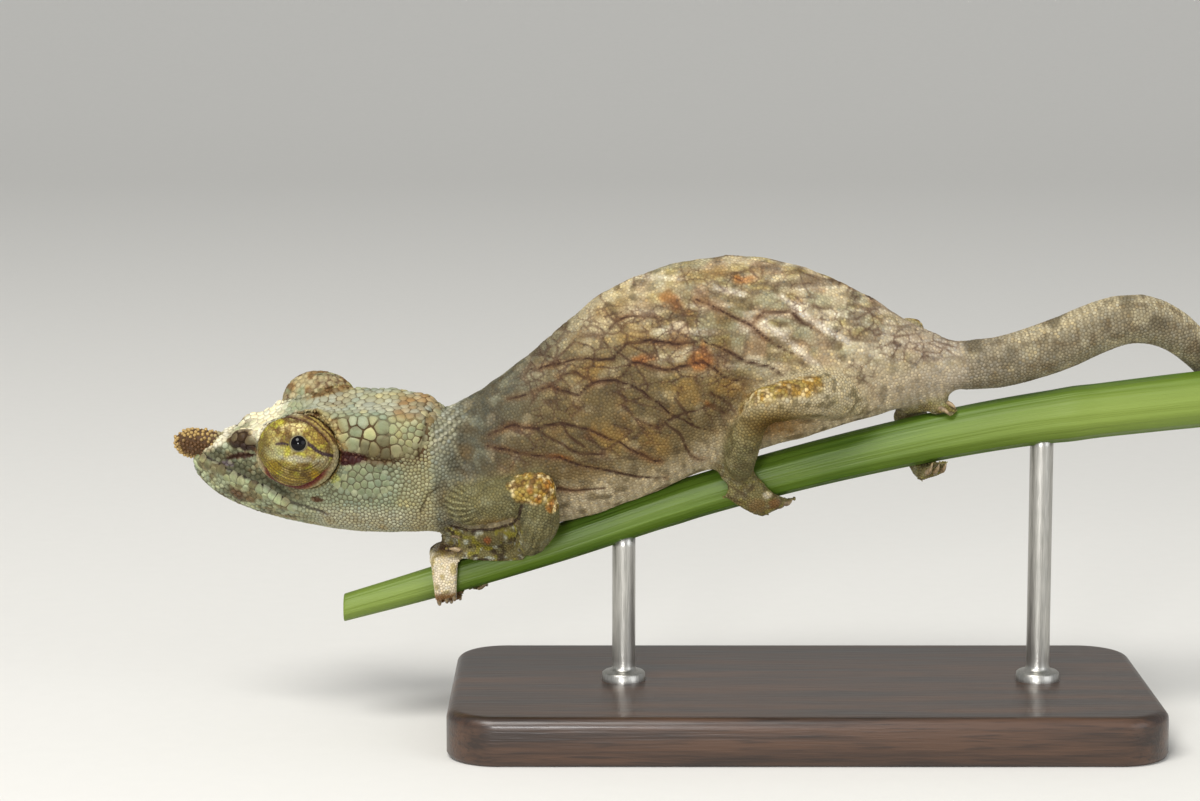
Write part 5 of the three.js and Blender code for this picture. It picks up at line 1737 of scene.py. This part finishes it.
class CHAMELEON_OT_horn(bpy.types.Operator):
    """Make the soft knobbly horn on the tip of the snout"""

    bl_idname = "chameleon.horn"
    bl_label = "Nose horn"

    def execute(self, context):
        mesh = self.shape()
        place("nose_horn_skin", mesh, self.finish(), "horn_skin", "nose_horn")
        place("nose_horn_scales", self.knobs(mesh), self.knob_finish(), "horn_skin")
        return {"FINISHED"}

    def shape(self):
        turn = turns(48)
        rows = []
        for a in np.linspace(0.08, math.pi - 0.08, 30):
            front = math.cos(a) > 0
            ahead, wide = math.cos(a) * (1 if front else 1.6), math.sin(a) ** (0.8 if front else 0.5)
            d = np.column_stack([np.full(len(turn), ahead), wide * np.cos(turn), wide * np.sin(turn)])
            drop = 0 if front else 0.12 * ahead
            rows.append(HORN_AT + [0, 0, drop] + d * HORN_SIZE * (1 + 0.06 * clouds(d * 2, 0.6, 91))[:, None])
        points, sets = rings(rows)
        return closed_mesh("nose_horn_skin", from_head(points), sets)

    def knobs(self, base):
        """Granules strewn over the horn by a node tree, and made one plain mesh."""
        tree = bpy.data.node_groups.new("knobs", "GeometryNodeTree")

        def socket(name, kind, way="INPUT"):
            return tree.interface.new_socket(name, in_out=way, socket_type="NodeSocket" + kind)

        socket("Geometry", "Geometry")
        for name, value in (("Spacing", 0.22 * MM), ("Size", 0.125 * MM), ("Height", 1.25)):
            socket(name, "Float").default_value = value
        coat = socket("Finish", "Material")
        socket("Geometry", "Geometry", "OUTPUT")
        start, end, spread, bead, tall, put, real, smooth, dress = (tree.nodes.new(kind) for kind in (
            "NodeGroupInput", "NodeGroupOutput", "GeometryNodeDistributePointsOnFaces",
            "GeometryNodeMeshIcoSphere", "ShaderNodeCombineXYZ", "GeometryNodeInstanceOnPoints",
            "GeometryNodeRealizeInstances", "GeometryNodeSetShadeSmooth", "GeometryNodeSetMaterial"))
        spread.distribute_method = "POISSON"
        for node, key, value in ((spread, "Density Max", 4e7), (spread, "Seed", 5), (bead, "Subdivisions", 2),
                                 (tall, "X", 1), (tall, "Y", 1)):
            node.inputs[key].default_value = value
        for source, out, target, into in (
                (start, "Geometry", spread, "Mesh"), (start, "Spacing", spread, "Distance Min"),
                (start, "Size", bead, "Radius"), (start, "Height", tall, "Z"),
                (spread, "Points", put, "Points"), (spread, "Rotation", put, "Rotation"),
                (bead, "Mesh", put, "Instance"), (tall, "Vector", put, "Scale"),
                (put, "Instances", real, "Geometry"), (real, "Geometry", smooth, "Geometry"),
                (smooth, "Geometry", dress, "Geometry"), (start, "Finish", dress, "Material"),
                (dress, "Geometry", end, "Geometry")):
            tree.links.new(source.outputs[out], target.inputs[into])
        made = changed(base, "NODES", {coat.identifier: self.knob_finish()}, node_group=tree)
        if not len(made.vertices):
            raise RuntimeError("The horn got no granules")
        return made

    def finish(self):
        f = Finish("horn_skin_finish")
        fine = f.noise(0.08, 3)
        horn = settings().colours.horn
        return f.put(Base_Color=f.blend(fine.between(0.3, 0.7), shade(horn, 0.45), shade(horn)),
                     Roughness=0.6 + fine * 0.2, Normal=f.relief(fine, 0.03))

    def knob_finish(self):
        f = Finish("horn_granules")
        patch, fine = f.noise(0.35, 2), f.noise(0.06, 2)
        at = f.at()
        middle = in_row(from_head([HORN_AT]))[0]

        def share_of(axis, size):
            line = HEAD_AXES[axis] / (size * MM)
            dot = f.node("VectorMath", "Value", {"operation": "DOT_PRODUCT"}, n0=at, n1=tuple(line))
            return dot - float(line @ middle)

        ahead, over = share_of(0, HORN_SIZE[0]), share_of(2, HORN_SIZE[2])
        rim = (ahead * ahead + over * over).power(0.5) + (patch - 0.5) * 0.7
        horn = settings().colours.horn
        root = (ahead * -1 + (patch - 0.5)).between(0.75, 1.1)
        tone = f.blend(rim.between(0.62, 0.86), shade(horn), shade(linear((176, 146, 86))))
        tone = f.blend(root, tone, shade(linear((150, 142, 106))))
        tone = f.blend(fine.between(0.35, 0.7) * 0.4, tone, shade(horn, 0.7))
        return f.put(Base_Color=tone, Roughness=0.5 + fine * 0.2, Normal=f.relief(fine, 0.012))


class CHAMELEON_OT_claws(bpy.types.Operator):
    """Make the twenty curved claws at the tips of the toes"""

    bl_idname = "chameleon.claws"
    bl_label = "Claws"

    def execute(self, context):
        points, fours, threes = [], [], []
        count = 0
        for at, *bundles in FEET.values():
            for bundle in bundles:
                for i in range(bundle[0]):
                    shell, (four, three) = self.claw(at, bundle, i)
                    points.append(shell)
                    fours.append(four + count)
                    threes.append(three + count)
                    count += len(shell)
        mesh = closed_mesh("claws", np.vstack(points), (np.concatenate(fours), np.concatenate(threes)))
        place("claws", mesh, self.finish(), "horn_skin")
        return {"FINISHED"}

    def beside(self, x, angle, clear):
        out = along(STEM_RADIUS, x) + clear
        turn = math.radians(angle)
        return np.array([x, -out * math.sin(turn), along(STEM_LINE, x) + out * math.cos(turn)])

    def claw(self, at, bundle, i):
        toes, start, end, drift, width, lift = bundle
        radius = along(STEM_RADIUS, at) + TOE_DEEP / 2
        sweep = math.radians(end - start)
        long = math.hypot(drift, radius * sweep)
        on_stem, round_stem = -radius * sweep / long, drift / long
        reach_ = CLAW_LENGTH / long
        s = ((i + 0.5) / toes - 0.5) * width * TOE_TAPER

        def spot(t, up):
            angle = start + (end - start) * t + math.degrees(s * round_stem / radius)
            return self.beside(at + drift * t + s * on_stem, angle, 0.25 + up * TOE_DEEP + lift * t * t)

        line = [(0.9, 0.34), (0.97, 0.4), (1 + reach_ * 0.25, 0.44), (1 + reach_ * 0.5, 0.42),
                (1 + reach_ * 0.75, 0.32), (1 + reach_ * 0.92, 0.2), (1 + reach_, 0.12)]
        path = np.array([spot(t, up) for t, up in line])
        wide = [0.22, 0.23, 0.2, 0.16, 0.11, 0.06, 0.012]
        away = unit(np.gradient(path, axis=0))
        side = unit(np.cross(away, path.mean(0) - [path.mean(0)[0], 0, along(STEM_LINE, path.mean(0)[0])]))
        over = np.cross(side, away)
        turn = turns(12)
        rows = [p + w * (0.8 * np.cos(turn)[:, None] * a + np.sin(turn)[:, None] * b)
                for p, w, a, b in zip(path, wide, side, over)]
        return rings(rows)

    def finish(self):
        f = Finish("claw_horn")
        fine, streak = f.noise(0.05, 2), f.noise(0.2, 2)
        claw = settings().colours.claw
        tone = f.blend(streak.between(0.4, 0.6), shade(claw, 0.75), shade(claw, 1.5))
        return f.put(Base_Color=tone, Roughness=0.3 + fine * 0.15, Normal=f.relief(fine, 0.006))


class CHAMELEON_OT_perch(bpy.types.Operator):
    """Make the ribbed green stem with its two cut ends"""

    bl_idname = "chameleon.perch"
    bl_label = "Perch"

    def execute(self, context):
        place("perch_ribbed_stem", self.shape(), self.finish(), "stem", "perch_stem")
        return {"FINISHED"}

    def shape(self):
        s = settings().perch
        sides = 96
        turn = turns(sides)
        x0, x1 = STEM_LINE[0][0], STEM_LINE[-1][0]
        places = np.concatenate([[0, 0, 0, 0.0004], np.linspace(0.002, 0.998, 260), [0.9996, 1, 1, 1]])
        inset = np.ones(len(places))
        inset[[0, 1, 2, 3]] = [0.3, 0.7, 0.93, 0.985]
        inset[[-1, -2, -3, -4]] = [0.3, 0.7, 0.93, 0.985]
        cup = np.zeros(len(places))
        cup[0], cup[-1] = 0.12, -0.12
        rows = []
        for t, narrow, sink in zip(places, inset, cup):
            x = x0 + (x1 - x0) * t
            radius, middle = along(STEM_RADIUS, x), along(STEM_LINE, x)
            d = np.column_stack([np.full(sides, x * 0.06), np.cos(turn), np.sin(turn)])
            rib = np.cos(turn * 13 + 0.5 * clouds(d * 2, 0.9, 101)) * 0.5 + np.cos(turn * 31 + x * 0.02) * 0.2
            swell = 0.02 * math.exp(-(((x - 5.3) / 0.9) ** 2)) + 0.03 * math.exp(-(((x - 31.5) / 1.1) ** 2))
            out = radius * (0.99 - s.rib * (0.7 - rib) * 0.55 + swell) * narrow
            out = out + 0.1 * narrow * np.clip(np.cos(turn), 0, 1)
            rows.append(np.column_stack([np.full(sides, x + sink), -out * np.sin(turn),
                                         middle + out * np.cos(turn)]))
        mesh = closed_mesh("perch_ribbed_stem", *rings(rows))
        lengthwise = np.concatenate([np.repeat(x0 + (x1 - x0) * places, sides), [x0, x1]])
        around = np.tile(np.column_stack([np.cos(turn), np.sin(turn)]), (len(rows), 1))
        around = np.concatenate([around, np.zeros((2, 2))])
        layer = mesh.attributes.new("grain", "FLOAT_VECTOR", "POINT")
        grain = np.column_stack([lengthwise * 0.012, around])
        layer.data.foreach_set("vector", grain.astype(np.float32).ravel())
        keep_values(mesh, "end", np.concatenate([np.repeat(1 - inset, sides), [1, 1]]))
        return mesh

    def finish(self):
        s = settings().perch
        f = Finish("green_stem")
        ribs = f.kept("grain", "Vector")
        streak = f.node("TexNoise", "Fac", Vector=ribs, Scale=5.0, Detail=3.0, Roughness=0.6)
        thin = f.node("TexNoise", "Fac", Vector=ribs, Scale=14.0, Detail=2.0, Roughness=0.5)
        blotch = f.noise(5, 2)
        far_end, up = f.node("SeparateXYZ", "X", Vector=ribs), f.node("SeparateXYZ", "Z", Vector=ribs)
        tone = f.blend(streak.between(0.36, 0.64), shade(s.green, 0.8), shade(s.green))
        tone = f.blend(thin.between(0.5, 0.7) * 0.3, tone, shade(s.light))
        tone = f.blend(blotch.between(0.45, 0.7) * 0.3, tone, shade(linear((104, 130, 30))))
        # Painted light: the stem is lighter on its side toward the camera from about 17 mm on, all round at
        # the end by the head, and faintly along that side, so its middle under the animal stays darker as
        # painted shade
        pale = far_end.between(0.2, 0.4) * up.between(0.1, 0.8) * 0.7 + far_end.between(-0.1, -0.15) * 0.6
        tone = f.blend(pale + up.between(0.75, 1.0) * 0.3, tone, shade(linear((112, 130, 46))))
        tone = f.blend(f.kept("end").between(0.03, 0.2), tone, shade(s.cut))
        return f.put(Base_Color=tone, Roughness=0.38 + streak * 0.2, Specular_IOR_Level=0.45,
                     Normal=f.relief(streak + thin * 0.6, 0.05))


class CHAMELEON_OT_stand(bpy.types.Operator):
    """Make the wooden base and the two rods that carry the stem"""

    bl_idname = "chameleon.stand"
    bl_label = "Stand"

    def execute(self, context):
        place("stand_plinth", self.plinth(), self.wood(), "stand_wood", "stand_base")
        metal = self.metal()
        for name, x in (("front", 1.6), ("rear", 29.5)):
            place(f"stand_post_{name}", self.rod(x), metal, "stand_steel", f"stand_rod_{name}")
        return {"FINISHED"}

    def plinth(self):
        low, high = (np.array(v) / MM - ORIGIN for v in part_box("stand_base"))
        middle, half = (low + high) / 2, (high - low) / 2
        corner = 3.5
        turn = np.linspace(0, 2 * np.pi, 65)[:-1]
        quarter = np.floor(turn / (np.pi / 2) + 1e-9)
        sx = np.where((quarter == 0) | (quarter == 3), 1, -1)
        sy = np.where(quarter < 2, 1, -1)

        def ring(z, inset):
            r = corner - inset
            x = middle[0] + sx * (half[0] - corner) + r * np.cos(turn)
            y = middle[1] + sy * (half[1] - corner) + r * np.sin(turn)
            return np.column_stack([x, y, np.full(len(turn), z)])

        edge = [(low[2], 0.35), (low[2] + 0.12, 0.12), (low[2] + 0.35, 0)]
        for k in range(7):
            a = k / 6 * math.pi / 2
            edge.append((high[2] - 0.7 + 0.7 * math.sin(a), 0.7 - 0.7 * math.cos(a)))
        edge += [(high[2], 0.9), (high[2], 1.6), (high[2], 2.6)]
        return closed_mesh("stand_plinth", *rings([ring(z, inset) for z, inset in edge]))

    def rod(self, x):
        r = settings().stand.rod / MM
        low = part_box("stand_base")[1].z / MM - ORIGIN[2]
        high = along(STEM_LINE, x) - along(STEM_RADIUS, x) * 0.55
        profile = [(low - 0.3, r * 1.9), (low + 0.05, r * 1.9), (low + 0.5, r * 1.85), (low + 0.62, r * 1.7),
                   (low + 0.66, r * 1.25), (low + 0.8, r * 1.05), (low + 1.0, r)]
        profile += [(z, r) for z in np.linspace(low + 1.4, high - 0.9, 8)]
        profile += [(high, r)]
        turn = turns(40)
        rows = [np.column_stack([x + w * np.cos(turn), w * np.sin(turn), np.full(40, z)]) for z, w in profile]
        return closed_mesh("rod", *rings(rows))

    def wood(self):
        s = settings().stand
        f = Finish("dark_wood")
        at = f.at()
        grain = f.noise(1.2, 4, 0.6, at=at, stretch=(0.08, 1, 1.6))
        pore = f.noise(0.18, 2, 0.5, at=at, stretch=(0.05, 1, 1))
        tone = f.blend(grain.between(0.38, 0.62), shade(s.grain), shade(s.wood))
        tone = f.blend(pore.between(0.55, 0.7) * 0.6, tone, shade(s.grain, 0.6))
        return f.put(Base_Color=tone, Roughness=0.32 + grain * 0.18, Coat_Weight=0.25, Coat_Roughness=0.2,
                     Normal=f.relief(grain * 0.4 + pore, 0.03))

    def metal(self):
        f = Finish("brushed_rod")
        at = f.at()
        brush = f.noise(0.06, 2, 0.5, at=at, stretch=(1, 1, 0.04))
        smear = f.noise(2.0, 2)
        metal = settings().stand.metal
        tone = f.blend(brush.between(0.35, 0.65), shade(metal, 0.7), shade(metal))
        return f.put(Base_Color=tone, Metallic=1.0, Roughness=0.24 + smear * 0.2,
                     Normal=f.relief(brush, 0.006))


class CHAMELEON_OT_stage(bpy.types.Operator):
    """Set up the floor, the backdrop, the soft lights and the camera"""

    bl_idname = "chameleon.stage"
    bl_label = "Stage"

    def execute(self, context):
        s = settings().stage
        self.sweep()
        self.lamp("key", (-0.16, -0.26, 0.42), 0.26, s.key, (1, 0.985, 0.95))
        self.lamp("fill", (0.34, -0.3, 0.16), 0.34, s.fill, (0.94, 0.97, 1))
        self.lamp("glint", (-0.068, -0.3, 0.073), 0.055, s.fill * 0.8, (1, 1, 1))
        world = bpy.data.worlds.new("surround")
        world.use_nodes = True
        light = world.node_tree.nodes["Background"].inputs
        light["Color"].default_value = (0.96, 0.98, 1, 1)
        light["Strength"].default_value = s.sky
        scene = context.scene
        scene.world = world
        scene.view_settings.view_transform = "Standard"
        scene.view_settings.look = "None"
        self.camera(s)
        return {"FINISHED"}

    def sweep(self):
        """A floor that turns up into a backdrop behind the animal."""
        middle = in_row([[13.5, 0, 0]])[0]
        profile = [(-1.2, 0), (-0.4, 0), (0.1, 0), (0.5, 0)]
        bend = np.linspace(0.1, math.pi / 2, 16)
        profile += [(0.5 + 0.5 * math.sin(a), 0.5 - 0.5 * math.cos(a)) for a in bend]
        profile += [(1.0, 1.0), (1.0, 1.6)]
        xs = np.linspace(-1.6, 1.6, 9)
        points = np.array([[middle[0] + x, y, z] for y, z in profile for x in xs])
        n = len(xs)
        i = np.arange(n - 1)
        strip = np.column_stack([i, i + 1, i + n + 1, i + n])
        faces = np.concatenate([strip + r * n for r in range(len(profile) - 1)])
        mesh = mesh_of("studio_floor", points, faces)
        f = Finish("studio_paper")
        grain = f.noise(1.5, 3)
        paper = settings().stage.floor
        f.put(Base_Color=f.blend(grain, shade(paper, 0.97), shade(paper)), Roughness=0.85)
        mesh.materials.append(f.material)
        stood("studio_floor", mesh)

    def lamp(self, name, at, size, power, tint):
        data = bpy.data.lights.new(name, "AREA")
        data.shape, data.size, data.energy, data.color = "DISK", size, power, tint
        lamp = stood(name, data)
        lamp.location = Vector(at)
        aim = Vector(in_row([[4, 0, 0]])[0])
        lamp.rotation_euler = (aim - lamp.location).to_track_quat("-Z", "Y").to_euler()

    def camera(self, s):
        data = bpy.data.cameras.new("camera")
        data.lens, data.sensor_width = 100, 36
        data.clip_start, data.clip_end = 0.01, 10
        camera = stood("camera", data)
        aim = Vector(in_row([[0, 0, 0]])[0])
        back = Vector((0, -math.cos(s.elevation), math.sin(s.elevation)))
        camera.location = aim + back * s.distance
        camera.rotation_euler = (-back).to_track_quat("-Z", "Y").to_euler()
        bpy.context.scene.camera = camera


STEPS = (CHAMELEON_OT_skin, CHAMELEON_OT_scales, CHAMELEON_OT_eyes, CHAMELEON_OT_horn, CHAMELEON_OT_claws,
         CHAMELEON_OT_perch, CHAMELEON_OT_stand, CHAMELEON_OT_stage)
GROUPS = (SkinSettings, ScaleSettings, ColourSettings, EyeSettings, PerchSettings, StandSettings,
          StageSettings, ChameleonSettings)


class CHAMELEON_PT_panel(bpy.types.Panel):
    """Lists the steps that make the model, with their sizes and colours"""

    bl_label = "Chameleon"
    bl_idname = "CHAMELEON_PT_panel"
    bl_space_type = "VIEW_3D"
    bl_region_type = "UI"
    bl_category = "Chameleon"

    def draw(self, context):
        for step_ in STEPS:
            self.layout.operator(step_.bl_idname)
        for group in ("skin", "scales", "colours", "eye", "perch", "stand", "stage"):
            box = self.layout.box()
            box.label(text=group.capitalize())
            values = getattr(context.scene.chameleon, group)
            for key in type(values).__annotations__:
                box.prop(values, key)


def register():
    for cls in (*GROUPS, *STEPS, CHAMELEON_PT_panel):
        bpy.utils.register_class(cls)
    bpy.types.Scene.chameleon = bpy.props.PointerProperty(type=ChameleonSettings)


def unregister():
    del bpy.types.Scene.chameleon
    for cls in reversed((*GROUPS, *STEPS, CHAMELEON_PT_panel)):
        bpy.utils.unregister_class(cls)


def main():
    register()
    bpy.ops.chameleon.stage()
    bpy.ops.chameleon.skin()
    bpy.ops.chameleon.scales()
    bpy.ops.chameleon.eyes()
    bpy.ops.chameleon.horn()
    bpy.ops.chameleon.claws()
    bpy.ops.chameleon.perch()
    bpy.ops.chameleon.stand()
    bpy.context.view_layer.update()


if __name__ == "__main__":
    main()
